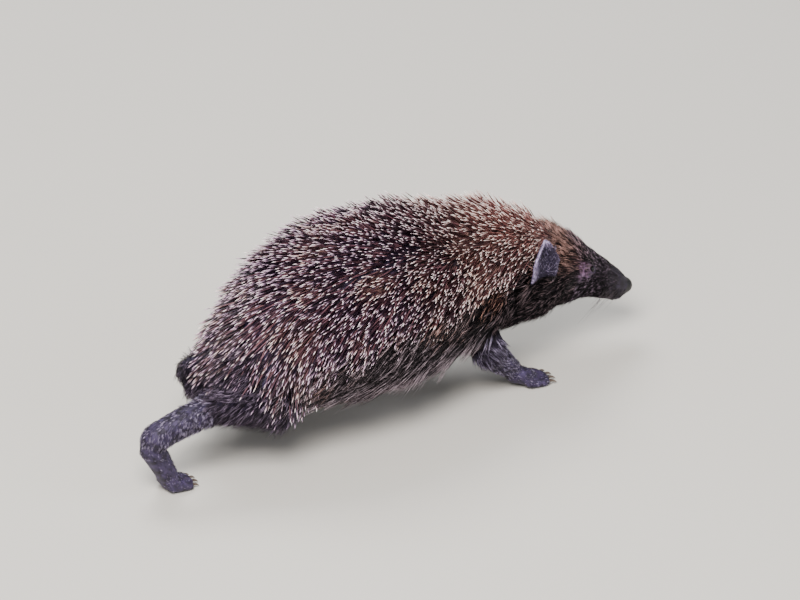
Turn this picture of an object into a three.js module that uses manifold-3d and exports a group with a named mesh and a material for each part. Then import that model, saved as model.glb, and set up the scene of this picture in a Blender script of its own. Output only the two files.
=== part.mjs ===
// A European hedgehog in mid stride, life size: nose down to the ground, right hind leg pushed
// out behind, the other three feet under the body. Millimetres, +X towards the head, +Y the
// animal's left, +Z up. Every form reaches the tips of the coat that covers it.
import * as THREE from "three";
import { mergeVertices } from "three/addons/utils/BufferGeometryUtils.js";
import Module from "manifold-3d";

const wasm = await Module();
wasm.setup();

// ---- Driving dimensions -------------------------------------------------------------------

const GAP = 0.35; // left between two nodes that touch
const LEFT = 1;
const RIGHT = -1;

// The trunk is an egg, blunt at the rump and drawn out to the lip of spines over the brow.
const TRUNK = {
  rumpX: 2,
  widestX: 92,
  browX: 220,
  halfWidth: 50,
  middleZ: 50, // height of the widest line at widestX
  rise: 60, // from that line up to the spine tips
  drop: 29, // from that line down to the belly hair
  rumpZ: 56, // height of the rump's pole
  browZ: 66, // height of the brow's pole
  lip: 0.19, // share of the rise that is left at both ends, as the lip of the spines
  front: { slope: 2.05, taper: 1.6 }, // how late the back falls away, and how late it narrows
  rear: { slope: 1.7, taper: 1.85 },
};

// The lower edge of the spines, from the rump to the brow: [distance from the rump, height].
const SKIRT = [[-20, 44], [30, 42], [90, 47], [150, 47], [172, 52], [190, 63], [206, 68], [240, 70]];
const SHOULDER_X = 160; // the spines are the back's behind this, and the crown's in front of it

// Where the neck turns the head towards the animal's right.
const TURN = { fromX: 160, toX: 218, degrees: -15 };

// Sections of the head, from the neck inside the trunk to the muzzle's end. Each one is
// square to a line that dips by its own number of degrees.
const HEAD_SECTIONS = [
  { x: 150, z: 44, dip: 0, wide: 27, up: 18, down: 19 },
  { x: 172, z: 46, dip: 5, wide: 30, up: 22, down: 22 },
  { x: 190, z: 48, dip: 12, wide: 31, up: 25, down: 27 },
  { x: 205, z: 48, dip: 20, wide: 29, up: 24, down: 27.5 },
  { x: 217, z: 46, dip: 28, wide: 25, up: 20.5, down: 24 },
  { x: 227, z: 42.5, dip: 36, wide: 19.5, up: 15, down: 19 },
  { x: 236.5, z: 37.5, dip: 42, wide: 13.8, up: 12, down: 13.5 },
  { x: 244.5, z: 32.3, dip: 45, wide: 9.6, up: 9.4, down: 10.2 },
  { x: 250, z: 28, dip: 46, wide: 7.3, up: 7.8, down: 7.8 },
  { x: 253.4, z: 25, dip: 46, wide: 4.8, up: 5, down: 5 },
];
const JAW_X = 194; // the head ends and the neck begins here
const NECK_X = 168; // the neck ends and the belly begins here

const NOSE = { x: 255, z: 28.4, length: 4.4, wide: 5.2, high: 4.2 };
const EYE = { x: 229.3, y: 17.6, z: 51.6, radius: 2.9 };
const EAR = {
  x: 196.5, y: 28, z: 56.5, height: 26, halfWidth: 8.6, thick: 2.2, cup: 3.4,
  splay: 14, // degrees that it leans outwards
  sweep: { left: 42, right: 4 }, // degrees that it is laid back
  turnOut: 84, // degrees that its hollow turns from straight ahead to the side
};
const TAIL = { from: [10, 0, 38], to: [-12, 2, 26], rootRadius: 4.2, tipRadius: 1.8 };

// ---- Solids, cuts and lofts ---------------------------------------------------------------

function solidOf(geometry) {
  const bare = geometry.clone();
  bare.deleteAttribute("normal");
  bare.deleteAttribute("uv");
  const merged = mergeVertices(bare, 1e-4);
  return new wasm.Manifold(
    new wasm.Mesh({
      numProp: 3,
      vertProperties: merged.attributes.position.array,
      triVerts: new Uint32Array(merged.index.array),
    }),
  );
}

function geometryOf(solid) {
  const mesh = solid.getMesh();
  const places = new Float32Array(mesh.numVert * 3);
  for (let i = 0; i < mesh.numVert; i++) {
    const at = i * mesh.numProp;
    places.set(mesh.vertProperties.subarray(at, at + 3), i * 3);
  }
  const geometry = new THREE.BufferGeometry();
  geometry.setAttribute("position", new THREE.BufferAttribute(places, 3));
  geometry.setIndex(new THREE.BufferAttribute(mesh.triVerts, 1));
  return geometry;
}

// The largest body that is left of a solid once the others are cut out of it.
function carve(solid, ...others) {
  const left = others.reduce((rest, other) => rest.subtract(other), solid);
  return left.decompose().sort((a, b) => b.volume() - a.volume())[0];
}

function joined(...solids) {
  return solids.reduce((sum, solid) => sum.add(solid));
}

// A closed solid through rings of points, all with the same count, with a point at each end.
function loft(rings, firstPole, lastPole) {
  const around = rings[0].length;
  const points = [firstPole, ...rings.flat(), lastPole];
  const last = points.length - 1;
  const at = (ring, i) => 1 + ring * around + (i % around);
  const index = [];
  for (let i = 0; i < around; i++) {
    index.push(0, at(0, i + 1), at(0, i));
    index.push(last, at(rings.length - 1, i), at(rings.length - 1, i + 1));
    for (let ring = 0; ring + 1 < rings.length; ring++) {
      const [a, b] = [at(ring, i), at(ring, i + 1)];
      const [c, d] = [at(ring + 1, i), at(ring + 1, i + 1)];
      index.push(a, b, d, a, d, c);
    }
  }
  const geometry = new THREE.BufferGeometry().setFromPoints(points);
  geometry.setIndex(index);
  const solid = solidOf(geometry);
  return solid.volume() > 0 ? solid : solidOf(geometry.setIndex(index.reverse()));
}

const radians = THREE.MathUtils.degToRad;
const smooth = (x, from, to) => THREE.MathUtils.smoothstep(x, from, to);

// A corner of a superellipse: its share of the half width and of the half height.
function corner(angle, squareness) {
  const round = (v) => Math.sign(v) * Math.abs(v) ** (2 / squareness);
  return [round(Math.cos(angle)), round(Math.sin(angle))];
}

// Turns a point of the straight animal with the neck's bend, as part of an arc.
function turned(point) {
  const { fromX, toX, degrees } = TURN;
  const radius = (toX - fromX) / radians(degrees);
  const angle = THREE.MathUtils.clamp((point.x - fromX) / radius,
    Math.min(0, radians(degrees)), Math.max(0, radians(degrees)));
  const onArc = point.x - fromX > 0 ? Math.min(point.x, toX) - fromX : 0;
  const beyond = point.x - fromX - onArc;
  const forward = new THREE.Vector3(Math.cos(angle), Math.sin(angle), 0);
  const left = new THREE.Vector3(-Math.sin(angle), Math.cos(angle), 0);
  const centre = new THREE.Vector3(
    fromX + radius * Math.sin(angle), radius * (1 - Math.cos(angle)), point.z);
  return centre.addScaledVector(forward, beyond).addScaledVector(left, point.y);
}

// One row for each share of the way, by Catmull-Rom through a table of rows.
function rowAt(table, share) {
  const along = share * (table.length - 1);
  const i = Math.min(Math.floor(along), table.length - 2);
  const t = along - i;
  const pick = (k) => table[THREE.MathUtils.clamp(k, 0, table.length - 1)];
  const [a, b, c, d] = [pick(i - 1), pick(i), pick(i + 1), pick(i + 2)];
  const value = (key) =>
    b[key] + 0.5 * t * (c[key] - a[key] + t * (2 * a[key] - 5 * b[key] + 4 * c[key] - d[key]
      + t * (3 * (b[key] - c[key]) + d[key] - a[key])));
  return Object.fromEntries(Object.keys(b).map((key) => [key, value(key)]));
}

// ---- Trunk and head -----------------------------------------------------------------------

function trunkForm(grow = 0) {
  const around = 26;
  const along = 17;
  const spot = (share) => {
    const reach = -Math.cos(Math.PI * share);
    const far = Math.abs(reach);
    const front = reach > 0;
    const { slope, taper } = front ? TRUNK.front : TRUNK.rear;
    const length = front ? TRUNK.browX - TRUNK.widestX : TRUNK.widestX - TRUNK.rumpX;
    return {
      bulk: Math.sqrt(Math.max(0, 1 - far ** taper)),
      top: (1 - TRUNK.lip) * (1 - far ** slope) + TRUNK.lip * Math.sqrt(Math.max(0, 1 - far ** 8)),
      x: TRUNK.widestX + (length + grow) * reach,
      z: THREE.MathUtils.lerp(TRUNK.middleZ, front ? TRUNK.browZ : TRUNK.rumpZ, far ** 2.5),
    };
  };
  const rings = [];
  for (let i = 1; i < along; i++) {
    const { bulk, top, x, z } = spot(i / along);
    const ring = [];
    for (let k = 0; k < around; k++) {
      const angle = (2 * Math.PI * k) / around;
      const above = Math.sin(angle) > 0;
      const [side, height] = corner(angle, above ? 2.15 : 2.9);
      const reach = above ? TRUNK.rise * top : TRUNK.drop * bulk;
      ring.push(turned(new THREE.Vector3(
        x, side * (TRUNK.halfWidth * bulk + grow), z + height * (reach + grow))));
    }
    rings.push(ring);
  }
  const pole = (share) => turned(new THREE.Vector3(spot(share).x, 0, spot(share).z));
  return loft(rings, pole(0), pole(1));
}

function headForm(grow = 0) {
  const around = 18;
  const along = 12;
  const rings = [];
  for (let i = 0; i <= along; i++) {
    const { x, z, dip, wide, up, down } = rowAt(HEAD_SECTIONS, i / along);
    const ring = [];
    for (let k = 0; k < around; k++) {
      const angle = (2 * Math.PI * k) / around;
      const [side, height] = corner(angle, 2.1);
      const rise = height * ((height > 0 ? up : down) + grow);
      ring.push(turned(new THREE.Vector3(x + rise * Math.sin(radians(dip)),
        side * (wide + grow), z + rise * Math.cos(radians(dip)))));
    }
    rings.push(ring);
  }
  const first = HEAD_SECTIONS[0];
  const last = HEAD_SECTIONS[HEAD_SECTIONS.length - 1];
  return loft(rings, turned(new THREE.Vector3(first.x - 8, 0, first.z)),
    turned(new THREE.Vector3(last.x + 1.5 + grow, 0, last.z - 1.5 - grow)));
}

// A ball with three half axes, on the turned head.
function ball(x, y, z, halfX, halfY, halfZ) {
  const geometry = new THREE.SphereGeometry(1, 12, 7);
  geometry.scale(halfX, halfY, halfZ);
  const place = geometry.attributes.position;
  for (let i = 0; i < place.count; i++) {
    const point = new THREE.Vector3().fromBufferAttribute(place, i);
    point.add(new THREE.Vector3(x, y, z));
    place.setXYZ(i, ...turned(point).toArray());
  }
  return solidOf(geometry);
}

function earForm(side, sweep) {
  const around = 14;
  const along = 6;
  const frame = new THREE.Matrix4()
    .makeRotationX(-side * radians(EAR.splay))
    .multiply(new THREE.Matrix4().makeRotationY(-radians(sweep)))
    .multiply(new THREE.Matrix4().makeRotationZ(side * radians(EAR.turnOut)));
  const place = (across, ahead, up) =>
    turned(new THREE.Vector3(ahead, side * across, up).applyMatrix4(frame)
      .add(new THREE.Vector3(EAR.x, side * EAR.y, EAR.z)));
  const rings = [];
  for (let i = 0; i < along; i++) {
    const share = Math.sin((0.5 * Math.PI * i) / along);
    const roundness = Math.sqrt(1 - share ** 4) * (0.72 + 0.28 * Math.sin(Math.PI * Math.min(1, share + 0.15)));
    const ring = [];
    for (let k = 0; k < around; k++) {
      const angle = (2 * Math.PI * k) / around;
      const across = Math.cos(angle);
      const hollow = EAR.cup * (across * across - 0.5);
      const thick = 0.5 * EAR.thick * Math.sin(angle) * (0.45 + 0.55 * roundness);
      ring.push(place(across * EAR.halfWidth * roundness, hollow + thick, share * EAR.height));
    }
    rings.push(ring);
  }
  return loft(rings, place(0, -0.5 * EAR.cup, -6), place(0, -0.5 * EAR.cup, EAR.height));
}

// The room below the lower edge of the spines, or above it, bent with the neck.
function beside(edge, farZ, grow = 0) {
  const halfWidth = 100;
  const steps = 2 * (edge.length - 1);
  const line = new THREE.SplineCurve(edge.map(([x, z]) => new THREE.Vector2(x, z)));
  const towards = Math.sign(edge[0][1] - farZ);
  const rings = [];
  for (let i = 0; i <= steps; i++) {
    const { x, y: z } = line.getPoint(i / steps);
    const nearZ = z + towards * grow;
    rings.push([[-1, nearZ], [0, nearZ], [1, nearZ], [1, farZ], [0, farZ], [-1, farZ]].map(
      ([side, height]) => turned(new THREE.Vector3(x, side * halfWidth, height))));
  }
  const ends = [edge[0][0], edge[edge.length - 1][0]].map((x) =>
    turned(new THREE.Vector3(x, 0, 0.5 * (edge[0][1] + farZ))));
  return loft(rings, ...ends);
}

// ---- Limbs --------------------------------------------------------------------------------

// A round-ended limb through joints [x, y, z], with a half width and half height at each.
function limb(joints, halfWidths, halfHeights, around = 12, along = 7) {
  const curve = new THREE.CatmullRomCurve3(
    joints.map((joint) => new THREE.Vector3(...joint)), false, "centripetal");
  const sizes = halfWidths.map((wide, i) => ({ wide, high: halfHeights[i] }));
  const spot = (share, beyond) => {
    const ahead = curve.getTangent(share);
    const { wide, high } = rowAt(sizes, share);
    const centre = curve.getPoint(share).addScaledVector(ahead, beyond * 0.5 * (wide + high));
    const side = new THREE.Vector3(0, 1, 0).addScaledVector(ahead, -ahead.y).normalize();
    return { centre, side, up: new THREE.Vector3().crossVectors(ahead, side), wide, high };
  };
  const ringAt = (share, beyond = 0) => {
    const { centre, side, up, wide, high } = spot(share, beyond);
    const size = Math.sqrt(1 - beyond * beyond);
    return Array.from({ length: around }, (_, k) => {
      const angle = (2 * Math.PI * k) / around;
      return centre.clone()
        .addScaledVector(side, Math.cos(angle) * wide * size)
        .addScaledVector(up, Math.sin(angle) * high * size);
    });
  };
  const rings = [ringAt(0, -0.8)];
  for (let i = 0; i <= along; i++) rings.push(ringAt(i / along));
  rings.push(ringAt(1, 0.8));
  return loft(rings, spot(0, -1).centre, spot(1, 1).centre);
}

const grown = (sizes, grow) => sizes.map((size) => size + grow);

// Joints run from the body to the foot. Upper is the thigh or upper arm, lower the shank or
// forearm; the sole runs from heel to ball, and the toes fan out from there.
const FORE = {
  upper: { wide: [13, 9.5], high: [16, 11] },
  lower: { wide: [8.5, 6.6, 5], high: [10, 7.4, 5.2] },
  halfWidth: 6.2, heelHigh: 4.6, ballHigh: 4.2,
  toes: { length: 8.5, spread: 17, radius: 2.3 }, claw: 6,
};
const HIND = {
  upper: { wide: [18, 11], high: [20, 12] },
  lower: { wide: [9.5, 6.6, 5.2], high: [10.5, 7.2, 5.4] },
  halfWidth: 5.8, heelHigh: 4.8, ballHigh: 4.2,
  toes: { length: 9.5, spread: 9, radius: 2.2 }, claw: 5,
};
// The leg that is pushed out behind is fullest at its heel.
const PUSHED = {
  lower: { wide: [8.2, 7.2, 6.8], high: [9, 7.6, 7.2] },
  halfWidth: 7, heelHigh: 6.6, ballHigh: 4.6,
};
const LIMBS = {
  fore_left: { ...FORE, side: LEFT, thigh: [[150, 20, 44], [140, 27, 30]],
    shank: [[140, 27, 30], [135, 28, 20], [131, 27, 11]], heel: [131, 27, 7.5], ball: [139.5, 27.5, 3.5] },
  fore_right: { ...FORE, side: RIGHT, thigh: [[154, -21, 44], [158, -29, 29]],
    shank: [[158, -29, 29], [166, -30, 19], [174, -29, 11]], heel: [175, -29, 7.5], ball: [183, -30.5, 3.5] },
  hind_left: { ...HIND, side: LEFT, thigh: [[20, 18, 39], [60, 28, 31]],
    shank: [[60, 28, 31], [53, 27, 18], [45, 26, 8]], heel: [43, 26, 4.3], ball: [67, 27, 3.5] },
  hind_right: { ...HIND, side: RIGHT, ...PUSHED, thigh: [[36, -24, 41], [8, -19, 42]],
    shank: [[8, -19, 42], [-13, -15, 38], [-30, -12, 32]], heel: [-32, -11.5, 27.5], ball: [-21, -11, 4.2] },
};
const TOES = 5;

const ground = solidOf(new THREE.BoxGeometry(600, 300, 60).translate(100, 0, -30));

// A toe's root, tip and the way it points; the first toe is the inner one.
function toeAt(name, toe) {
  const { ball: [x, y, z], toes, halfWidth, side } = LIMBS[name];
  const place = (2 * toe) / (TOES - 1) - 1;
  const angle = side * place * radians(toes.spread);
  const shorter = (place < 0 ? 0.38 : 0.22) * place * place;
  const length = toes.length * (1 - shorter);
  const rootY = y + side * place * (halfWidth - 0.75 * toes.radius);
  return {
    angle,
    root: [x - 2, rootY, 0.8 * z],
    tip: [x + length * Math.cos(angle), rootY + length * Math.sin(angle), 0.86 * toes.radius],
  };
}

function toeForm(name, toe, grow) {
  const { root, tip } = toeAt(name, toe);
  const radius = LIMBS[name].toes.radius + grow;
  const knuckle = root.map((v, i) => 0.5 * (v + tip[i]) + (i === 2 ? 0.9 : 0));
  return limb([root, knuckle, tip], [radius, radius, radius], [radius, radius, radius], 6, 1);
}

function footForm(name, grow = 0) {
  const { heel, ball: palm, halfWidth, heelHigh, ballHigh } = LIMBS[name];
  const middle = heel.map((v, i) => 0.5 * (v + palm[i]) + (i === 2 ? 0.8 : 0));
  const sole = limb([heel, middle, palm],
    grown([0.72 * halfWidth, 0.85 * halfWidth, halfWidth], grow),
    grown([heelHigh, 0.5 * (heelHigh + ballHigh), ballHigh], grow), 8, 3);
  const toes = Array.from({ length: TOES }, (_, toe) => toeForm(name, toe, grow));
  return joined(sole, ...toes);
}

function thighForm(name, grow = 0) {
  const { thigh, upper } = LIMBS[name];
  return limb(thigh, grown(upper.wide, grow), grown(upper.high, grow), 12, 3);
}

function shankForm(name, grow = 0) {
  const { shank, lower } = LIMBS[name];
  return limb(shank, grown(lower.wide, grow), grown(lower.high, grow), 10, 4);
}

function clawForm(name, toe) {
  const { tip, angle } = toeAt(name, toe);
  const length = LIMBS[name].claw;
  const at = (along, z) => [tip[0] + along * Math.cos(angle), tip[1] + along * Math.sin(angle), z];
  return limb([at(0, tip[2] + 0.5), at(0.55 * length, tip[2] + 0.5), at(length, 0.75)],
    [1, 0.75, 0.3], [1.1, 0.9, 0.35], 5, 1);
}

// ---- Materials ----------------------------------------------------------------------------

const material = (color, roughness) =>
  new THREE.MeshStandardMaterial({ color, roughness, metalness: 0 });
const FINISH = {
  spines: material(0x5a463c, 0.6),
  fur: material(0x4a4038, 0.9),
  skin: material(0x5b5066, 0.7),
  nose: material(0x16130f, 0.3),
  eye: material(0x050505, 0.05),
  claw: material(0x6a5c50, 0.45),
};

// ---- Assembly -----------------------------------------------------------------------------

const hedgehog = new THREE.Group();

function add(name, solid, finish) {
  const mesh = new THREE.Mesh(geometryOf(solid), finish);
  mesh.name = name;
  hedgehog.add(mesh);
}

// Everything between two distances from the rump, bent with the neck.
const slice = (fromX, toX) => beside([[fromX, -20], [toX, -20]], 200);

const trunk = trunkForm();
const trunkGrown = trunkForm(GAP);
const headGrown = headForm(GAP);
const underSpines = beside(SKIRT, -20, GAP);
const overFlank = beside(SKIRT, 200);
const mantleGrown = carve(trunkGrown, beside(SKIRT, -20));
const thighs = Object.keys(LIMBS).map((name) => thighForm(name, GAP));
add("back", carve(trunk, underSpines, slice(SHOULDER_X, 260)), FINISH.spines);
add("crown", carve(trunk, underSpines, slice(-30, SHOULDER_X + GAP)), FINISH.spines);

const napeGrown = carve(trunkGrown, beside(SKIRT, 200), slice(-30, NECK_X));
const noseHole = ball(NOSE.x, 0, NOSE.z, NOSE.length + GAP, NOSE.wide + GAP, NOSE.high + GAP);
const eyeball = (side, grow = 0) => ball(EYE.x, side * EYE.y, EYE.z,
  EYE.radius + grow, EYE.radius + grow, EYE.radius + grow);
add("head", carve(headForm(), mantleGrown, napeGrown, slice(100, JAW_X), noseHole,
  eyeball(LEFT, GAP), eyeball(RIGHT, GAP)), FINISH.fur);
const throat = carve(headForm(), slice(100, NECK_X), slice(JAW_X - GAP, 270));
const nape = carve(trunk, overFlank, slice(-30, NECK_X));
add("neck", carve(joined(throat, nape), mantleGrown, ...thighs), FINISH.fur);
add("nose", ball(NOSE.x, 0, NOSE.z, NOSE.length, NOSE.wide, NOSE.high), FINISH.nose);
for (const [side, name] of [[LEFT, "left"], [RIGHT, "right"]]) {
  add(`eye_${name}`, eyeball(side), FINISH.eye);
  add(`ear_${name}`, carve(earForm(side, EAR.sweep[name]), trunkGrown, headGrown), FINISH.skin);
}

// Each thigh swells out of the belly, and the tail grows between the hind ones.
add("belly", carve(trunk, overFlank, slice(NECK_X - GAP, 260), ...thighs), FINISH.fur);
add("tail", carve(limb([TAIL.from, TAIL.to], [TAIL.rootRadius, TAIL.tipRadius],
  [TAIL.rootRadius, TAIL.tipRadius], 10, 4), trunkGrown, ...thighs), FINISH.skin);
for (const name of Object.keys(LIMBS)) {
  const part = name.startsWith("fore") ? ["upper_arm", "forearm"] : ["thigh", "shank"];
  const thigh = carve(thighForm(name), mantleGrown, ground);
  add(`${name}_${part[0]}`, thigh, FINISH.fur);
  add(`${name}_${part[1]}`, carve(shankForm(name), trunkGrown, headGrown, thighForm(name, GAP), ground), FINISH.fur);
  add(`${name}_foot`, carve(footForm(name), shankForm(name, GAP), trunkGrown, ground), FINISH.skin);
  const footGrown = footForm(name, GAP);
  for (let toe = 0; toe < TOES; toe++) {
    add(`${name}_claw_${toe + 1}`, carve(clawForm(name, toe), footGrown, ground), FINISH.claw);
  }
}

// The origin is under the middle of the whole animal, at the height of its soles.
const bounds = new THREE.Box3().setFromObject(hedgehog);
const middle = bounds.getCenter(new THREE.Vector3());
hedgehog.position.set(-middle.x, -middle.y, -bounds.min.z);

export default hedgehog;
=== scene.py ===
import math

import bmesh
import bpy
import numpy as np
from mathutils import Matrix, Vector
from mathutils.bvhtree import BVHTree


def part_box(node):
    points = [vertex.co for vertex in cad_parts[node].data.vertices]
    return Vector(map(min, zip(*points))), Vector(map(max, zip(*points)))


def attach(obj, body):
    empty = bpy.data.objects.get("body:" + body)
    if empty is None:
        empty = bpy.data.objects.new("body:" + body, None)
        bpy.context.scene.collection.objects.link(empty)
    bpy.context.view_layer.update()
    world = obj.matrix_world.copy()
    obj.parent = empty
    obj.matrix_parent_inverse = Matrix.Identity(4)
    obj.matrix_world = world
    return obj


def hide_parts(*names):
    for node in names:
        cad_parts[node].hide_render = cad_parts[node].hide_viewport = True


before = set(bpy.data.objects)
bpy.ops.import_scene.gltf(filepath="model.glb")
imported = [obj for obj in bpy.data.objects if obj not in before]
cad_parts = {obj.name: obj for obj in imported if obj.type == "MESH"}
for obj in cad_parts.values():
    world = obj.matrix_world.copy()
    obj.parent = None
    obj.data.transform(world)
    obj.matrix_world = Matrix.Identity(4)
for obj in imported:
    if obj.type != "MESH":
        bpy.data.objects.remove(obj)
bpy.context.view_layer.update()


# ---- Studio: camera, floor and light ----------------------------------------------------------
# A plain pale floor and large soft lamps, as a museum uses to record a specimen. The camera looks
# down on the animal's right side from behind its shoulder, with a long lens.
def linear(code):
    """A colour given as an sRGB hex code, turned to linear light."""
    parts = [int(code[i:i + 2], 16) / 255 for i in (1, 3, 5)]
    return tuple(p / 12.92 if p <= 0.04045 else ((p + 0.055) / 1.055) ** 2.4 for p in parts) + (1.0,)


def add(tree, kind, inputs=None, stops=(), **settings):
    """Adds a node with its settings and, on a colour ramp, its stops, and links or sets its inputs.
    A node given as an input stands for its first live output."""
    node = tree.nodes.new(kind)
    for key, value in settings.items():
        setattr(node, key, value)
    while stops and len(node.color_ramp.elements) < len(stops):
        node.color_ramp.elements.new(0.5)
    for k, (at, code) in enumerate(stops):
        mark = node.color_ramp.elements[k]
        mark.position, mark.color = at, linear(code)
    for key, value in (inputs or {}).items():
        if isinstance(value, bpy.types.Node):
            value = next(o for o in value.outputs if o.enabled)
        if isinstance(value, bpy.types.NodeSocket):
            tree.links.new(value, node.inputs[key])
        else:
            node.inputs[key].default_value = value
    return node


def new_finish(name):
    """A new material, and its tree of nodes, still empty."""
    material = bpy.data.materials.new(name)
    material.use_nodes = True
    material.node_tree.nodes.clear()
    return material, material.node_tree


def loose(name, data):
    """A new object at the origin, in the scene."""
    obj = bpy.data.objects.new(name, data)
    bpy.context.scene.collection.objects.link(obj)
    return obj


def aimed(name, data, place, look):
    """A camera or lamp at a place, that looks along a direction."""
    holder = loose(name, data)
    holder.location, holder.rotation_mode = place, "QUATERNION"
    holder.rotation_quaternion = look.to_track_quat("-Z", "Y")
    return holder


turn, height_angle, stand_off = math.radians(-35), math.radians(30), 3.5
level = math.cos(height_angle)
toward_camera = Vector((math.sin(turn) * level, -math.cos(turn) * level, math.sin(height_angle)))
rightward = Vector((math.cos(turn), math.sin(turn), 0))
upward = toward_camera.cross(rightward)
aim = Vector((0, 0, 0.060)) + rightward * 0.01275 - upward * 0.00125
lens = bpy.data.cameras.new("camera")
lens.lens, lens.sensor_width, lens.clip_start, lens.clip_end = 315, 36, 0.1, 30
bpy.context.scene.camera = aimed("camera", lens, aim + toward_camera * stand_off, -toward_camera)

FLOOR_HALF, FLOOR_DROP = 6, -0.0004         # half its width, and its height: just under the feet
floor_mesh = bpy.data.meshes.new("floor")
floor_corners = [(x * FLOOR_HALF, y * FLOOR_HALF, FLOOR_DROP) for x, y in ((-1, -1), (1, -1), (1, 1), (-1, 1))]
floor_mesh.from_pydata(floor_corners, [], [(0, 1, 2, 3)])
# Matt painted board: evenly pale, with no gloss to draw the eye.
board, tree = new_finish("painted_board")
grain = add(tree, "ShaderNodeTexNoise", {"Vector": add(tree, "ShaderNodeTexCoord").outputs["Object"], "Scale": 3.0})
pale = add(tree, "ShaderNodeValToRGB", {"Fac": grain}, stops=((0, "#cfcbc4"), (1, "#d6d3cd")))
paint = add(tree, "ShaderNodeBsdfPrincipled", {"Base Color": pale, "Roughness": 0.85})
add(tree, "ShaderNodeOutputMaterial", {"Surface": paint})
floor_mesh.materials.append(board)
loose("floor", floor_mesh)

for name, place, wide, power, colour in (("key_lamp", (-0.75, -0.75, 1.35), 0.7, 47, "#fffaf4"),
                                         ("fill_lamp", (1.2, -1.2, 0.8), 1.0, 9, "#f0f3ff"),
                                         ("top_lamp", (0.2, 0.9, 1.4), 0.8, 19, "#ffffff")):
    light = bpy.data.lights.new(name, "AREA")
    light.shape, light.size, light.energy, light.color = "SQUARE", wide, power, linear(colour)[:3]
    aimed(name, light, place, Vector((0, 0, 0.05)) - Vector(place))
world = bpy.data.worlds.new("pale_room")
world.use_nodes = True
world.node_tree.nodes["Background"].inputs["Color"].default_value = linear("#e6e8ea")
world.node_tree.nodes["Background"].inputs["Strength"].default_value = 0.51
bpy.context.scene.world = world


# ---- Skin: the whole body in one piece ---------------------------------------------------------
# The hide over the flesh of head, trunk, legs, tail and ears, without a seam. It is made from the
# solids' own shape, grown together, then let in from the outline by the depth of the coat there.
LEGS = {f"{end}_{side}": parts
        for end, parts in (("fore", ("upper_arm", "forearm", "foot")), ("hind", ("thigh", "shank", "foot")))
        for side in ("left", "right")}
TRUNK_PARTS = ["back", "crown", "belly", "neck", "head", "nose", "tail"]
LEG_PARTS = [f"{leg}_{part}" for leg, parts in LEGS.items() for part in parts]
JOIN_GROWTH, EAR_GROWTH = 0.00030, 0.00035   # the solids grow by this, so that the thin cuts between them close
BODY_GRID, SKIN_GRID = 0.0010, 0.00082       # size of the cubes that they are grown together with
# How deep the coat is over each part: its tips reach the solids' outline.
COAT_DEPTH = {"back": 0.0112, "crown": 0.0064, "belly": 0.0055, "neck": 0.0050, "head": 0.0034, "nose": 0.0,
              "tail": 0.0008, "upper_arm": 0.0032, "forearm": 0.0006, "thigh": 0.0045, "shank": 0.0002, "foot": -0.0002}
LET_IN_STEPS = 8                             # the skin is let in by this depth a little at a time, and kept even


def ramp(x, a, b):
    """0 at a and 1 at b, with soft ends."""
    t = np.clip((x - a) / (b - a), 0, 1)
    return t * t * (3 - 2 * t)


def hump(x, wide):
    """1 at 0, falling off softly over the width given."""
    return np.exp(-(x / wide) ** 2)


def unit(v):
    return v / np.maximum(np.linalg.norm(v, axis=-1, keepdims=True), 1e-12)


def far(p, middle):
    """Distance of each place from a point."""
    return np.linalg.norm(p - middle, axis=1)


def middle_of(node):
    return np.array(sum(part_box(node), Vector()) / 2)


def main_axes(p):
    """Directions in which a group of points is narrow, wider and longest."""
    return np.linalg.eigh(np.cov((p - p.mean(axis=0)).T))[1].T


def read(items, what, across, kind=np.float32):
    values = np.empty(len(items) * across, kind)
    items.foreach_get(what, values)
    return values.reshape(-1, across)


def places(mesh):
    return read(mesh.vertices, "co", 3).astype(float)


def outward(mesh):
    return read(mesh.vertex_normals, "vector", 3).astype(float)


def edge_ends(mesh):
    return read(mesh.edges, "vertices", 2, np.int32)


def make_smooth(mesh):
    mesh.polygons.foreach_set("use_smooth", np.ones(len(mesh.polygons), bool))


def move_to(mesh, co):
    mesh.vertices.foreach_set("co", co.astype(np.float32).ravel())
    mesh.update()


def blur(values, ends, times, share=0.5):
    """Evens out values over the surface, from each point to its neighbours."""
    a, b, count = ends[:, 0], ends[:, 1], len(values)
    many = np.maximum(np.bincount(a, minlength=count) + np.bincount(b, minlength=count), 1)
    flat = values.reshape(count, -1).astype(float)
    for _ in range(times):
        for k in range(flat.shape[1]):
            v = flat[:, k]
            mean = (np.bincount(a, v[b], count) + np.bincount(b, v[a], count)) / many
            flat[:, k] = v + share * (mean - v)
    return flat.reshape(values.shape)


def grown(names, growth):
    """The named solids in one bmesh, each merged and grown outwards a little."""
    whole = bmesh.new()
    for name in names:
        part = bmesh.new()
        part.from_mesh(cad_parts[name].data)
        bmesh.ops.remove_doubles(part, verts=part.verts, dist=2e-6)
        part.normal_update()
        new = [whole.verts.new(v.co + v.normal * growth) for v in part.verts]
        for face in part.faces:
            whole.faces.new([new[v.index] for v in face.verts])
        part.free()
    return whole


def as_mesh(name, shape):
    """A mesh with the shape of a bmesh, which is let go."""
    mesh = bpy.data.meshes.new(name)
    shape.to_mesh(mesh)
    shape.free()
    return mesh


def through(obj, kind, **settings):
    """The mesh of obj after one modifier, as a plain mesh."""
    modifier = obj.modifiers.new(kind.lower(), kind)
    for key, value in settings.items():
        setattr(modifier, key, value)
    mesh = bpy.data.meshes.new_from_object(obj.evaluated_get(bpy.context.evaluated_depsgraph_get()))
    obj.modifiers.remove(modifier)
    return mesh


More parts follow.
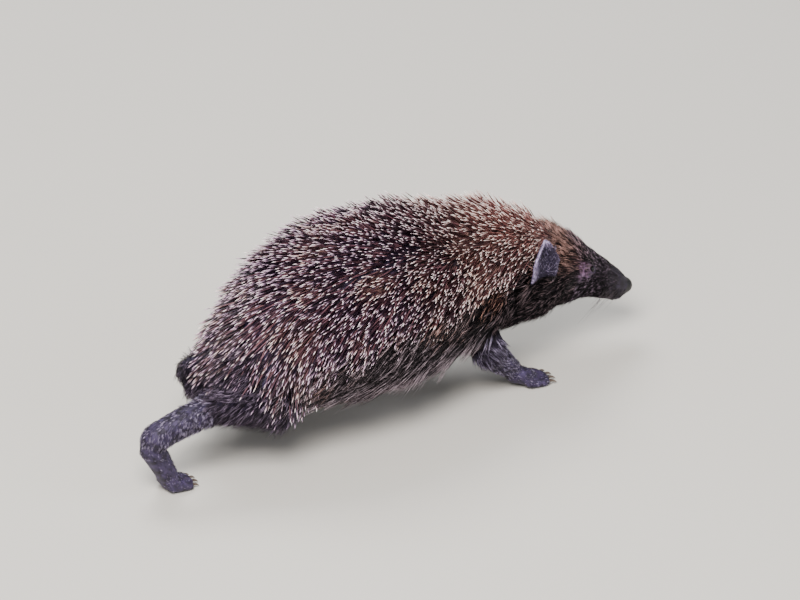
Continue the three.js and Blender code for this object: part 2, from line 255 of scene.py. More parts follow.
def part_owner(co):
    """Which solid of the body each place belongs to: the nearest."""
    names, corners, faces, owner = TRUNK_PARTS + LEG_PARTS, [], [], []
    for i, name in enumerate(names):
        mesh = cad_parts[name].data
        first = len(corners)
        corners.extend(tuple(v.co) for v in mesh.vertices)
        faces.extend([first + v for v in p.vertices] for p in mesh.polygons)
        owner.extend([i] * len(mesh.polygons))
    tree = BVHTree.FromPolygons(corners, faces)
    return np.array(names)[[owner[tree.find_nearest(p)[2]] for p in co.tolist()]]


def part_kinds(owner):
    """The kind of part, such as foot or back, without its side."""
    return np.array([n if n in COAT_DEPTH else n.split("_", 2)[-1] for n in owner])


def rump_shares(p):
    """How far each place is on top of the rump, and at its end."""
    return (ramp(-p[:, 0], 0.045, 0.080) * ramp(p[:, 2], 0.058, 0.075),
            ramp(-p[:, 0], 0.076, 0.102) * ramp(p[:, 2], 0.038, 0.050))


eye_middle = {side: middle_of(f"eye_{side}") for side in ("left", "right")}
nose_middle = middle_of("nose")
head_root = np.array([0.084, -0.002, 0.048])       # where the head comes out of the neck
head_axis = unit(nose_middle - head_root)
nose_tip = nose_middle + head_axis * 0.004

rough_body = loose("rough_body", as_mesh("rough_body", grown(TRUNK_PARTS + LEG_PARTS, JOIN_GROWTH)))
body = through(rough_body, "REMESH", mode="VOXEL", voxel_size=BODY_GRID)
ends = edge_ends(body)
outline = blur(places(body), ends, 3)
x, y, z = outline.T
owner = part_kinds(part_owner(outline))
on_back, on_head = owner == "back", np.isin(owner, ["head", "nose"])
depth = np.array([COAT_DEPTH[n] for n in owner])
depth = np.where(owner == "crown", np.interp(x, [0.045, 0.095], [COAT_DEPTH["back"], COAT_DEPTH["crown"]]), depth)
from_nose = (nose_tip - outline) @ head_axis       # how far back from the nose, along the head
depth = np.where(on_head, 0.0002 + 0.0032 * ramp(from_nose, 0.004, 0.040), depth)
for middle in eye_middle.values():
    depth = np.where(on_head, np.minimum(depth, 0.0007 + 0.0025 * ramp(far(outline, middle), 0.004, 0.011)), depth)
rump_top, rump_end = rump_shares(outline)
haunch_end = (owner == "thigh") * ramp(-x, 0.070, 0.095) * ramp(y, 0.0, 0.010) * ramp(z, 0.028, 0.042)
depth = depth + 0.0025 * on_back * rump_top + 0.0036 * on_back * rump_end + 0.0065 * haunch_end
limb_way = blur(np.isin(owner, ["thigh", "shank", "upper_arm", "forearm"]).astype(float), ends, 30)
depth = blur(depth, ends, 70)
depth = depth + (blur(depth, ends, 200) - depth) * limb_way
co = outline.copy()
rump = blur(on_back * ramp(-x, 0.060, 0.090), ends, 12)[:, None]
for step in range(LET_IN_STEPS):
    move_to(body, co)
    n = unit(blur(outward(body), ends, 8))
    n = unit(n + rump * (blur(n, ends, 40) - n))
    co = co - n * depth[:, None] / LET_IN_STEPS
    even = np.clip(depth / 0.006, 0, 1)[:, None]
    co = co + (blur(co, ends, 2) - co) * even
    co = co + (blur(co, ends, 14) - co) * rump
move_to(body, co)
inner_faces = [tuple(p.vertices) for p in body.polygons]
inner = BVHTree.FromPolygons(co.tolist(), inner_faces)

# The ears keep their own outline; their roots are drawn down into the sunken skin of the head.
ear_frame, ear_shell = {}, {}
both = bmesh.new()
both.from_mesh(body)
for side in ("left", "right"):
    ear = grown([f"ear_{side}"], EAR_GROWTH)
    bmesh.ops.subdivide_edges(ear, edges=ear.edges, cuts=1, smooth=0.7)
    p = np.array([tuple(v.co) for v in ear.verts])
    middle, (_, wide_way, tall) = p.mean(axis=0), main_axes(p)
    tall = unit(tall if tall[2] > 0 else -tall)
    wide_way = unit(wide_way if wide_way[0] > 0 else -wide_way)
    facing = np.cross(tall, wide_way)
    facing = facing if facing[1] * (1 if side == "left" else -1) > 0 else -facing
    ear_frame[side] = (middle, tall, wide_way, facing)
    t = (p - middle) @ tall
    t = (t - t.min()) / (t.max() - t.min())     # 0 at the root of the ear and 1 at its top
    across = (p - middle) @ wide_way
    p = p + hump(t - 0.67, 0.25)[:, None] * np.where(across < 0, 0.36, 0.14)[:, None] * across[:, None] * wide_way
    p = p + (0.0023 * ramp(t, 0.45, 1.0) * hump(across + 0.001, 0.0042))[:, None] * tall
    blade = ramp(t, 0.22, 0.60)[:, None]        # above its root the ear is thin, and curls outwards at its edges
    across = ((p - middle) @ wide_way)[:, None]
    p = p - 0.15 * blade * ((p - middle) @ facing)[:, None] * facing + blade * 22.0 * across ** 2 * facing
    root = (1 - ramp(t, 0.0, 0.34))[:, None]
    inward = unit(np.array([0.086, -0.002, 0.040]) - middle)
    p = p + root * (0.006 * inward - 0.006 * tall) + root * 0.25 * ((p - middle) @ wide_way)[:, None] * wide_way
    for v, place in zip(ear.verts, p):
        v.co = place
    ear_shell[side] = BVHTree.FromBMesh(ear)
    both.from_mesh(as_mesh("ear_" + side, ear))
rough_body.data = as_mesh("body_and_ears", both)
hide = through(rough_body, "REMESH", mode="VOXEL", voxel_size=SKIN_GRID)
ends = edge_ends(hide)
co = places(hide)
for _ in range(2):                                  # evens the voxel steps, and keeps the volume
    co = blur(blur(co, ends, 1, 0.55), ends, 1, -0.50)
move_to(hide, co)
# Under the spines and on the belly, where the coat hides the skin, larger faces do.
hidden = np.array([inner_faces[inner.find_nearest(p)[2]][0] for p in co.tolist()])
hidden = blur(np.isin(owner[hidden], ["back", "crown", "belly"]).astype(float), ends, 6)
rough_body.data = hide
group = rough_body.vertex_groups.new(name="hidden")
for i in np.nonzero(hidden > 0.02)[0].tolist():
    group.add([i], float(hidden[i]), "REPLACE")
hide = through(rough_body, "DECIMATE", ratio=0.62, vertex_group="hidden", use_collapse_triangulate=True)
bpy.data.objects.remove(rough_body)

# Finer faces where small forms are worked: round the eyes and over the end of the snout.
fine = bmesh.new()
fine.from_mesh(hide)
spots = [(Vector(eye_middle["left"]), 0.0075, 0.0058), (Vector(eye_middle["right"]), 0.0075, 0.0058),
         (Vector(nose_middle), 0.0085, 0.0065)]          # each with the reach of the first and the second cut
for k in (1, 2):
    chosen = {e for e in fine.edges if any(all((v.co - s[0]).length < s[k] for v in e.verts) for s in spots)}
    bmesh.ops.subdivide_edges(fine, edges=list(chosen), cuts=1, use_grid_fill=True)
bmesh.ops.triangulate(fine, faces=[f for f in fine.faces if len(f.verts) > 4])
fine.to_mesh(hide)
fine.free()

# Eyelids: the skin is drawn over the eyeball, with an almond opening and a thicker rim.
EYE_SUNK, EYE_BALL, LID_THICK = 0.0009, 0.0029, 0.00022
OPEN_LONG, OPEN_HIGH = 0.00215, 0.00165
ends = edge_ends(hide)
co = places(hide)
hide_out = unit(blur(outward(hide), ends, 6))
eye_out, eye_place = {}, {}
for side, middle in eye_middle.items():
    near = far(co, middle)
    d = unit(hide_out[(near < 0.0075) & (near > 0.0035)].mean(axis=0))
    eye_out[side], eye_place[side] = d, middle - EYE_SUNK * d
    u = unit(head_axis - (head_axis @ d) * d)
    v = np.cross(d, u)
    v = v if v[2] > 0 else -v
    q = co - eye_place[side]
    a, b, h = q @ u, q @ v, q @ d
    across = np.sqrt((a / OPEN_LONG) ** 2 + ((b - 0.0001) / OPEN_HIGH) ** 2)    # 1 at the edge of the opening
    ball = np.sqrt(np.maximum((EYE_BALL + LID_THICK) ** 2 - a * a - b * b, 0))
    lid = ball + 0.00040 * hump(across - 1.20, 0.20) - 0.00030 * hump(across - 1.80, 0.22)
    blend = (1 - ramp(np.sqrt(a * a + b * b), 0.0025, 0.0054)) * ramp(h, -0.0070, -0.0045) * (near < 0.0078)
    h_new = h + (lid - h) * blend
    h_new = np.where((across < 1.0) & (blend > 0.02), ball - 0.00025 - 0.0016 * ramp(1.0 - across, 0.0, 0.30), h_new)
    co = co + (h_new - h)[:, None] * d

# End of the snout: a pad with two nostrils, a groove below it, and the line of the mouth.
q = co - nose_middle
side_axis = unit(np.cross(head_axis, np.array([0, 0, 1.0])))
rise_axis = np.cross(side_axis, head_axis)
a, b, h = q @ side_axis, q @ rise_axis, q @ head_axis
for s in (-1, 1):
    pit = np.sqrt(((a - s * 0.00145) / 0.00075) ** 2 + ((b - 0.00015) / 0.00060) ** 2)
    co = co - head_axis * (0.0011 * hump(pit, 1) * ramp(h, 0.0002, 0.0016))[:, None]
    wing = np.sqrt(((a - s * 0.0021) / 0.0009) ** 2 + ((b + 0.0003) / 0.0010) ** 2 + ((h - 0.0009) / 0.0012) ** 2)
    co = co + (side_axis * s * 0.0004 + rise_axis * 0.0001) * hump(wing, 1)[:, None]
groove = hump(a, 0.00032) * ramp(h, 0.0004, 0.0018) * ramp(b, 0.0012, -0.0006)
co = co - head_axis * (0.00042 * groove)[:, None]
mouth = hump(b + 0.0042 + 0.10 * (0.002 - h), 0.00055) * ramp(-h, -0.001, 0.002) * ramp(-h, 0.026, 0.016)
co = co - hide_out * (0.0006 * mouth)[:, None]
move_to(hide, co)

# Where each place of the skin lies under the solids' outline, and which part it belongs to.
ends = edge_ends(hide)
co = places(hide)
cover = outline[[inner_faces[inner.find_nearest(p)[2]][0] for p in co.tolist()]]
leg_of = part_owner(cover)
kind = part_kinds(leg_of)
in_ear, hollow, rim = np.zeros(len(co), bool), np.zeros(len(co)), np.zeros(len(co))
facing_out = unit(outward(hide))
for side, (middle, tall, wide_way, facing) in ear_frame.items():
    low, high = (np.array(c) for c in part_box(f"ear_{side}"))
    for i in np.nonzero(np.all((co > low - 0.004) & (co < high + 0.004), axis=1))[0]:
        in_ear[i] = in_ear[i] or (ear_shell[side].find_nearest(co[i])[3] < 0.0008 and (co[i] - middle) @ tall > -0.009)
    this = in_ear & (far(co, middle) < 0.022)
    t, a = (co - middle) @ tall, (co - middle) @ wide_way
    steps = np.linspace(t[this].min(), t[this].max(), 9)
    step = np.clip(np.searchsorted(steps, t) - 1, 0, 7)
    edge = np.array([[a[this & (step == k)].min(), a[this & (step == k)].max()] for k in range(8)])
    middles = 0.5 * (steps[1:] + steps[:-1])
    rear, fore = np.interp(t, middles, edge[:, 0]), np.interp(t, middles, edge[:, 1])
    share = (a - rear) / np.maximum(fore - rear, 0.001)       # 0 at the rear edge and 1 at the front one
    # Inside each ear cup the skin is darkened with painted shade, and the hair there grows longer. Along the rear edge,
    # the top and a little of the front edge it is lightened with a painted highlight, and the hair is thinner.
    inside = ramp(facing_out @ facing, 0.0, 0.5) * ramp(share, 0.18, 0.45) * ramp(1 - share, 0.0, 0.15)
    hollow = np.where(this, inside * ramp(steps[-1] - t, 0.002, 0.007), hollow)
    top_rim_highlight = 0.9 * ramp(t, steps[-1] - 0.006, steps[-1] - 0.001)
    rim = np.where(this, np.max([1 - ramp(share, 0.08, 0.36), top_rim_highlight, 0.25 * ramp(share, 0.88, 0.98)], axis=0), rim)
kind = np.where(in_ear, "ear", kind)
cover = np.where(in_ear[:, None], co, cover)
x, y, z = cover.T
up = unit(blur(outward(hide), ends, 12))
up_z = up[:, 2]
coat_depth = blur(np.where(in_ear, 0.0003, np.linalg.norm(cover - co, axis=1)), ends, 10)
from_nose = (nose_tip - co) @ head_axis


def region(*kinds, soften):
    """1 on these parts of the body and 0 elsewhere, softened at the border."""
    return blur(np.isin(kind, kinds).astype(float), ends, soften)


# Markings that skin and coat share: warm tan patches, violet-grey hide, bare and wet skin.
def wobble(p, size, seed):
    """A smooth uneven field, about size across, that is the same each time."""
    rng = np.random.default_rng(seed)
    total = np.zeros(len(p))
    for _ in range(14):
        k = rng.normal(0, 1, 3)
        total += np.sin(p @ (unit(k) * rng.uniform(0.7, 1.7) * 2 * math.pi / size) + rng.uniform(0, 6.3))
    return total / 14 ** 0.5


def near_line(p, points):
    """Distance to a bent line."""
    best = np.full(len(p), 9.0)
    for s, e in zip(points[:-1], points[1:]):
        s, e = np.array(s), np.array(e)
        t = np.clip(((p - s) @ (e - s)) / ((e - s) @ (e - s)), 0, 1)
        best = np.minimum(best, np.linalg.norm(p - s - t[:, None] * (e - s), axis=1))
    return best


def near_any(points):
    """Distance from the nearest of some points."""
    return np.min([far(co, p) for p in points], axis=0)


# The coat parts along this line, on the right of the back, and its warm brown shows there.
PARTING = [(-0.083, -0.010, 0.085), (-0.054, -0.038, 0.083), (-0.026, -0.033, 0.089), (0.041, -0.025, 0.086)]
uneven = wobble(cover, 0.026, 11)
over = region("back", "crown", soften=12)
patchy = 0.55 + 0.45 * ramp(wobble(cover, 0.015, 12), -0.7, 0.7)
brow = region("head", soften=10) * ramp(from_nose, 0.024, 0.048) * ramp(up_z, -0.05, 0.65)
before_ear = near_any([middle + fore * wide_way - below * tall for middle, tall, wide_way, _ in ear_frame.values()
                       for fore, below in ((0.006, 0.007), (0.009, 0.002), (-0.003, 0.010))])
round_ear = near_any([middle - 0.004 * wide_way for middle, _, wide_way, _ in ear_frame.values()])
round_ear = hump(round_ear, 0.015) * (1 - region("ear", soften=2))
warm = 0.90 * patchy * ramp(x, 0.020, 0.064) + 0.85 * hump(near_line(cover, PARTING), 0.007) * ramp(uneven, -0.5, 0.9)
warm = (warm + 0.72 * ramp(uneven, 0.35, 1.25)) * (1 - 0.30 * ramp(-x, 0.060, 0.100))
warm = np.clip(warm * over + 0.7 * brow, 0, 1) * (1 - 0.75 * round_ear)
limb = region("shank", "forearm", "foot", "tail", soften=10)
violet = limb + region("ear", soften=4) + 0.75 * region("thigh", soften=20)
violet = violet + over * (0.20 + 0.50 * ramp(-x, -0.030, 0.010) + 0.30 * ramp(-x, 0.030, 0.090))
violet = violet + 0.5 * hump(near_any(eye_middle.values()), 0.005) + 0.10 * region("head", "nose", soften=6)
violet = np.clip(violet + 0.22 * region("head", "nose", soften=4) * (1 - ramp(from_nose, 0.010, 0.030)), 0, 1)
bare = sum(0.62 * hump(far(co, middle - head_axis * behind - np.array([0, 0, below])), size)
           for middle in eye_middle.values()
           for behind, below, size in ((0.0052, 0.0005, 0.0036), (0.0040, 0.0050, 0.0034)))
bare = np.clip(bare, 0, 1)
wet = ramp((co - nose_middle) @ head_axis, -0.0016, -0.0002) * (from_nose < 0.010)
# Over the top of the head behind the snout more of the tips are pale: partly real pale brow hair, partly a painted
# highlight where the top of the head catches the light.
bright = 0.15 + 0.11 * ramp(from_nose, 0.010, 0.034) + 0.42 * brow * (1 - 0.7 * round_ear)
# On the legs, feet and tail more of the tips are pale: partly real pale ends, partly a painted highlight.
bright = bright + 0.30 * region("belly", soften=10) + 0.30 * limb + 0.25 * hump(before_ear, 0.008) + 0.2 * bare
nape = over * patchy * ramp(x, 0.048, 0.080) * ramp(up_z, 0.30, 0.70) * (1 - round_ear)


def keep_value(mesh, name, values):
    """Writes one number or one direction for each place of the mesh."""
    vector = values.ndim == 2
    layer = mesh.attributes.get(name) or mesh.attributes.new(name, "FLOAT_VECTOR" if vector else "FLOAT", "POINT")
    layer.data.foreach_set("vector" if vector else "value", values.astype(np.float32).ravel())


for name, values in (("warm", warm), ("violet", violet), ("bright", bright), ("nape", nape), ("bare", bare),
                     ("wet", wet), ("hollow", blur(hollow, ends, 2)), ("rim", blur(rim, ends, 2)), ("up", up)):
    keep_value(hide, name, values)
make_smooth(hide)
skin = loose("skin", hide)
hide.uv_layers.new(name="OFBake")
bpy.context.view_layer.objects.active = skin
skin.select_set(True)
bpy.ops.object.mode_set(mode="EDIT")
bpy.ops.mesh.select_all(action="SELECT")
bpy.ops.uv.smart_project(angle_limit=math.radians(66), island_margin=0.001)
bpy.ops.object.mode_set(mode="OBJECT")

# Haired mammal hide, unpainted: dark between the spines, violet-grey and finely wrinkled on legs
# and ears, pinkish where bare behind the eye, wet black at the nose. Inside each ear it is darkened
# with painted shade, and along the ear's edges it is lightened with a painted highlight.
haired_hide, tree = new_finish("haired_hide")
where = add(tree, "ShaderNodeTexCoord").outputs["Object"]
field = {name: add(tree, "ShaderNodeAttribute", attribute_name=name).outputs["Fac"]
         for name in ("warm", "violet", "bare", "wet", "hollow", "rim")}
# Blotches are 4 mm across, flecks 1.6 mm, and skin creases 0.7 mm apart, with pores between them.
mottle = add(tree, "ShaderNodeTexNoise", {"Vector": where, "Scale": 260.0, "Detail": 4.0, "Roughness": 0.6})
freckle = add(tree, "ShaderNodeTexNoise", {"Vector": where, "Scale": 620.0, "Detail": 3.0, "Roughness": 0.65})
wrinkle = add(tree, "ShaderNodeTexVoronoi", {"Vector": where, "Scale": 1500.0}, feature="DISTANCE_TO_EDGE")
pores = add(tree, "ShaderNodeTexNoise", {"Vector": where, "Scale": 3200.0, "Detail": 2.0})
flecks = add(tree, "ShaderNodeMapRange", {"Value": freckle, "From Min": 0.38, "From Max": 0.60, "To Min": 0.15})
flecked = {name: add(tree, "ShaderNodeMath", {0: field[name], 1: flecks}, operation="MULTIPLY")
           for name in ("rim", "bare")}
grey = add(tree, "ShaderNodeValToRGB", {"Fac": mottle}, stops=((0.35, "#171120"), (0.68, "#463a5e")))
colour = add(tree, "ShaderNodeValToRGB", {"Fac": mottle}, stops=((0, "#0f0a0d"), (1, "#20161a")))
# The dark violet inside each ear is painted shade, and the flecked pale violet along its edges is a painted highlight.
for share, other in ((field["warm"], linear("#54332a")), (field["violet"], grey), (field["hollow"], linear("#261e38")),
                     (flecked["rim"], linear("#b9a8d2")), (flecked["bare"], linear("#9d769c")),
                     (field["wet"], linear("#0e0c0e"))):
    colour = add(tree, "ShaderNodeMix", {"Factor": share, 6: colour, 7: other}, data_type="RGBA")
roughness = add(tree, "ShaderNodeMapRange", {"Value": field["wet"], "To Min": 0.62, "To Max": 0.34})
relief = add(tree, "ShaderNodeMath", {0: wrinkle, 1: pores}, operation="ADD")
bump = add(tree, "ShaderNodeBump", {"Height": relief, "Strength": 0.55, "Distance": 0.00018})
shader = add(tree, "ShaderNodeBsdfPrincipled", {
    "Base Color": colour, "Roughness": roughness, "Normal": bump, "Specular IOR Level": 0.4,
    "Subsurface Weight": 0.06, "Subsurface Radius": (0.004, 0.0016, 0.001)})
add(tree, "ShaderNodeOutputMaterial", {"Surface": shader})
hide.materials.append(haired_hide)
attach(skin, "root")
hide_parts(*TRUNK_PARTS, *LEG_PARTS, "ear_left", "ear_right")


# ---- Spines: over the back and crown -----------------------------------------------------------
# Stiff hollow spines of keratin, about 22 mm long and rather less than 1 mm thick, each set in the
# skin and leaning back over the next. Cream at the root, banded dark brown above, with a cream tip.
MAP_PATCH = 0.003       # the map of each spine or lock is one patch this wide


def lock(name, strands, length, thick, spread, bend, profile, seed, sides=3, gather=0.6, uneven=0.25):
    """One spine, or a lock of hairs that gather towards their tips, standing on the origin along z.
    It bends towards -x. The profile is its width at shares of its length, and the last one is its tip."""
    rng = np.random.default_rng(seed)
    verts, faces, along, strand = [], [], [], []
    for s in range(strands):
        angle = 2 * math.pi * (s + rng.uniform(-0.3, 0.3)) / strands
        off = spread * rng.uniform(0.45, 1.0) if strands > 1 else 0.0
        long, sway, phase = length * (1 - uneven * rng.uniform(0, 1)), rng.normal(0, 0.05), rng.uniform(0, 6.3)
        first, tone = len(verts), rng.uniform(0, 1)
        for share, wide in profile:
            x = off * math.cos(angle) * (1 - gather * share) - bend * long * share ** 1.7
            y = off * math.sin(angle) * (1 - gather * share) + sway * long * share ** 2
            half = wide * thick / 2
            for k in range(sides if wide else 1):
                turn = phase + 2 * math.pi * k / sides
                verts.append((x + half * math.cos(turn), y + half * math.sin(turn), long * share))
                along.append(share)
                strand.append(tone)
        faces.append(([first + k for k in reversed(range(sides))], s))
        tip = len(verts) - 1
        for r in range(len(profile) - 1):
            for k in range(sides):
                a, b = first + r * sides + k, first + r * sides + (k + 1) % sides
                faces.append(([a, b, b + sides, a + sides] if r < len(profile) - 2 else [a, b, tip], s))
    mesh = bpy.data.meshes.new(name)
    mesh.from_pydata(verts, [], [f for f, _ in faces])
    patch = mesh.uv_layers.new(name="OFBake")
    column, corner = MAP_PATCH / strands, 0
    for f, s in faces:
        for k, v in enumerate(f):
            across = (0.1, 0.9, 0.9, 0.1)[k % 4] if len(f) != 3 else (0.1, 0.9, 0.5)[k]
            patch.data[corner].uv = (column * (s + across) - MAP_PATCH / 2, MAP_PATCH * along[v] - MAP_PATCH / 2)
            corner += 1
    for label, values in (("along", along), ("strand", strand)):
        mesh.attributes.new(label, "FLOAT", "POINT").data.foreach_set("value", values)
    make_smooth(mesh)
    return bpy.data.objects.new(name, mesh)


def coat_tree():
    """The node tree that sets locks over the skin. It reads what the skin says at each root: share (how
    many), long, wide, lift, lie (the way the coat runs) and up."""
    tree = bpy.data.node_groups.new("coat_over_skin", "GeometryNodeTree")
    for label, kind in (("Skin", "Geometry"), ("Locks", "Collection"), ("Root spacing", "Float"),
                        ("Roots per square metre", "Float"), ("Root depth", "Float"), ("Length scatter", "Float"),
                        ("Direction scatter", "Float"), ("Parting strength", "Float"), ("Parting size", "Float"),
                        ("Seed", "Int"), ("Finish", "Material")):
        tree.interface.new_socket(label, in_out="INPUT", socket_type="NodeSocket" + kind)
    tree.interface.new_socket("Coat", in_out="OUTPUT", socket_type="NodeSocketGeometry")
    given = tree.nodes.new("NodeGroupInput").outputs
    at_root = {label: add(tree, "GeometryNodeInputNamedAttribute", {"Name": label}, data_type=kind)
               for label, kind in (("share", "FLOAT"), ("long", "FLOAT"), ("wide", "FLOAT"), ("lift", "FLOAT"),
                                   ("up", "FLOAT_VECTOR"), ("lie", "FLOAT_VECTOR"), ("OFBake", "FLOAT_VECTOR"),
                                   ("root_map", "FLOAT_VECTOR"))}
    SUM, VECTOR, RANDOM = "ShaderNodeMath", "ShaderNodeVectorMath", "FunctionNodeRandomValue"
    STORE = "GeometryNodeStoreNamedAttribute"
    seed = {more: add(tree, SUM, {0: given["Seed"], 1: more}, operation="ADD") for more in (3.0, 5.0, 7.0)}

    roots = add(tree, "GeometryNodeDistributePointsOnFaces", {
        "Mesh": given["Skin"], "Distance Min": given["Root spacing"], "Density Max": given["Roots per square metre"],
        "Density Factor": at_root["share"], "Seed": given["Seed"]}, distribute_method="POISSON")
    roots = add(tree, STORE, {"Geometry": roots, "Name": "root_map", "Value": at_root["OFBake"]},
                data_type="FLOAT_VECTOR", domain="POINT")
    roots = add(tree, "GeometryNodeRemoveAttribute", {"Geometry": roots, "Name": "OFBake"})
    tone = add(tree, RANDOM, {"Seed": given["Seed"]}, data_type="FLOAT")
    roots = add(tree, STORE, {"Geometry": roots, "Name": "tone", "Value": tone}, data_type="FLOAT", domain="POINT")

    # The way each lock points: along the lie, lifted off the skin, with a parting noise and its own scatter.
    coarse = add(tree, SUM, {0: 1.0, 1: given["Parting size"]}, operation="DIVIDE")
    noise = add(tree, "ShaderNodeTexNoise", {"Vector": add(tree, "GeometryNodeInputPosition"), "Scale": coarse,
                                             "Detail": 1.0}, noise_dimensions="3D").outputs["Color"]
    noise = add(tree, VECTOR, {0: noise, 1: (0.5, 0.5, 0.5)}, operation="SUBTRACT")
    parting = add(tree, VECTOR, {0: noise, "Scale": given["Parting strength"]}, operation="SCALE")
    any_way = {0: (-1.0, -1.0, -1.0), 1: (1.0, 1.0, 1.0), "Seed": seed[7.0]}
    scatter = add(tree, RANDOM, any_way, data_type="FLOAT_VECTOR")
    scatter = add(tree, VECTOR, {0: scatter, "Scale": given["Direction scatter"]}, operation="SCALE")
    loose_way = add(tree, VECTOR, {0: parting, 1: scatter}, operation="ADD")
    cosine = add(tree, SUM, {0: at_root["lift"]}, operation="COSINE")
    sine = add(tree, SUM, {0: at_root["lift"]}, operation="SINE")
    flat = add(tree, VECTOR, {0: at_root["lie"], "Scale": cosine}, operation="SCALE")
    steep = add(tree, VECTOR, {0: at_root["up"], "Scale": sine}, operation="SCALE")
    way = add(tree, VECTOR, {0: flat, 1: steep}, operation="ADD")
    way = add(tree, VECTOR, {0: way, 1: loose_way}, operation="ADD")
    way = add(tree, VECTOR, {0: way}, operation="NORMALIZE")
    # No lock dives into the skin: its rise above the skin is kept to a little or more.
    rise = add(tree, VECTOR, {0: way, 1: at_root["up"]}, operation="DOT_PRODUCT")
    least = add(tree, SUM, {0: sine, 1: 0.45}, operation="MULTIPLY")
    short_by = add(tree, SUM, {0: least, 1: rise}, operation="SUBTRACT")
    short_by = add(tree, SUM, {0: short_by, 1: 0.0}, operation="MAXIMUM")
    mend = add(tree, VECTOR, {0: at_root["up"], "Scale": short_by}, operation="SCALE")
    way = add(tree, VECTOR, {0: way, 1: mend}, operation="ADD")
    way = add(tree, VECTOR, {0: way}, operation="NORMALIZE")
    turned = add(tree, "FunctionNodeAxesToRotation", {0: way, 1: at_root["up"]}, primary_axis="Z", secondary_axis="X")

    longer = add(tree, RANDOM, {"Seed": seed[3.0]}, data_type="FLOAT")
    longer = add(tree, SUM, {0: longer, 1: 0.7}, operation="SUBTRACT")
    longer = add(tree, SUM, {0: given["Length scatter"], 1: longer}, operation="MULTIPLY")
    longer = add(tree, SUM, {0: 1.0, 1: longer}, operation="ADD")
    longer = add(tree, SUM, {0: at_root["long"], 1: longer}, operation="MULTIPLY")
    size = add(tree, "ShaderNodeCombineXYZ", {0: at_root["wide"], 1: at_root["wide"], 2: longer})
    deep = add(tree, SUM, {0: given["Root depth"], 1: -1.0}, operation="MULTIPLY")
    deep = add(tree, VECTOR, {0: at_root["up"], "Scale": deep}, operation="SCALE")
    sunk = add(tree, "GeometryNodeSetPosition", {"Geometry": roots, "Offset": deep})
    locks = add(tree, "GeometryNodeCollectionInfo", {"Collection": given["Locks"], "Separate Children": True,
                                                     "Reset Children": True})
    pick = add(tree, RANDOM, {4: 0, 5: 50, "Seed": seed[5.0]}, data_type="INT")
    coat = add(tree, "GeometryNodeInstanceOnPoints", {"Points": sunk, "Instance": locks, "Pick Instance": True,
                                                      "Instance Index": pick, "Rotation": turned, "Scale": size})
    coat = add(tree, "GeometryNodeRealizeInstances", {"Geometry": coat})
    on_map = add(tree, VECTOR, {0: at_root["OFBake"], 1: at_root["root_map"]}, operation="ADD")
    coat = add(tree, STORE, {"Geometry": coat, "Name": "OFBake", "Value": on_map}, data_type="FLOAT2", domain="CORNER")
    coat = add(tree, "GeometryNodeSetMaterial", {"Geometry": coat, "Material": given["Finish"]})
    add(tree, "NodeGroupOutput", {0: coat})
    return tree


COAT_TREE = coat_tree()


def grow_coat(name, locks, finish, slot, where, long, lift, lie, wide=1.0, **sizes):
    """Sets one piece of coat over the skin, as a plain mesh that rides on the body."""
    ground_mesh = hide.copy()
    ground_mesh.materials.clear()
    for label, values in (("share", where), ("long", long), ("lift", lift), ("lie", lie), ("wide", wide + 0 * where)):
        keep_value(ground_mesh, label, values)
    ground = loose(name + "_ground", ground_mesh)
    shelf = bpy.data.collections.new(name + "_locks")
    for obj in locks:
        shelf.objects.link(obj)
    modifier = ground.modifiers.new("coat", "NODES")
    modifier.node_group = COAT_TREE
    sockets = {s.name: s.identifier for s in COAT_TREE.interface.items_tree if s.in_out == "INPUT"}
    modifier[sockets["Locks"]] = shelf
    modifier[sockets["Finish"]] = finish
    for label, value in sizes.items():
        modifier[sockets[label.replace("_", " ")]] = value
    mesh = bpy.data.meshes.new_from_object(ground.evaluated_get(bpy.context.evaluated_depsgraph_get()))
    ground.modifiers.remove(modifier)
    for obj in [ground, *locks]:
        bpy.data.objects.remove(obj)
    bpy.data.collections.remove(shelf)
    # Only what the finish reads stays on the mesh.
    spare = ["share", "long", "lift", "lie", "wide", "up", "root_map", "bare", "wet", "hollow", "rim", "hidden"]
    for label in spare + (["bright", "strand"] if slot == "spines" else ["violet", "nape"]):
        mesh.attributes.remove(mesh.attributes[label])
    mesh.name = name
    coat = loose(name, mesh)
    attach(coat, "root")


def lying(v, soften=25):
    """Directions along the skin: v with what points into or out of it taken away, evened out."""
    flat = unit(v - (v * up).sum(axis=1)[:, None] * up)
    flat = blur(flat, ends, soften)
    return unit(flat - (flat * up).sum(axis=1)[:, None] * up)


backward, down = np.array([-1.0, 0.0, 0.0]), np.array([0, 0, -1.0])
skin_x, skin_y, skin_z = co.T
droop = 0.46 - 0.34 * ramp(skin_x, -0.035, 0.010) + 1.45 * ramp(-skin_x, 0.025, 0.080)
droop = 0.14 + droop * (1 - np.clip(up_z, 0, 1)) ** 0.9
droop = droop + 0.80 * ramp(-skin_x, 0.045, 0.080) + 3.0 * ramp(-skin_x, 0.084, 0.104)
spine_lie = lying(backward + down * droop[:, None])
SPINE_LENGTH, SPINE_THICK = 0.0215, 0.00067
SPINE_PROFILE = [(0, 0.65), (0.25, 1.0), (0.72, 0.92), (0.93, 0.60), (1.0, 0)]
# The lower edge of the spines: low over the haunch, and higher behind the shoulder.
EDGE_HEIGHT = {-0.110: 0.040, -0.075: 0.043, -0.050: 0.050, -0.016: 0.062, 0.020: 0.062, 0.055: 0.061, 0.085: 0.058}
edge_height = np.interp(x, list(EDGE_HEIGHT), list(EDGE_HEIGHT.values()))
edge_height = edge_height + 0.004 * ramp(-x, 0.092, 0.106) * (1 - ramp(np.abs(y), 0.008, 0.022))
above_edge = z - edge_height + 0.0030 * wobble(cover, 0.028, 5) + 0.0016 * wobble(cover, 0.008, 6)
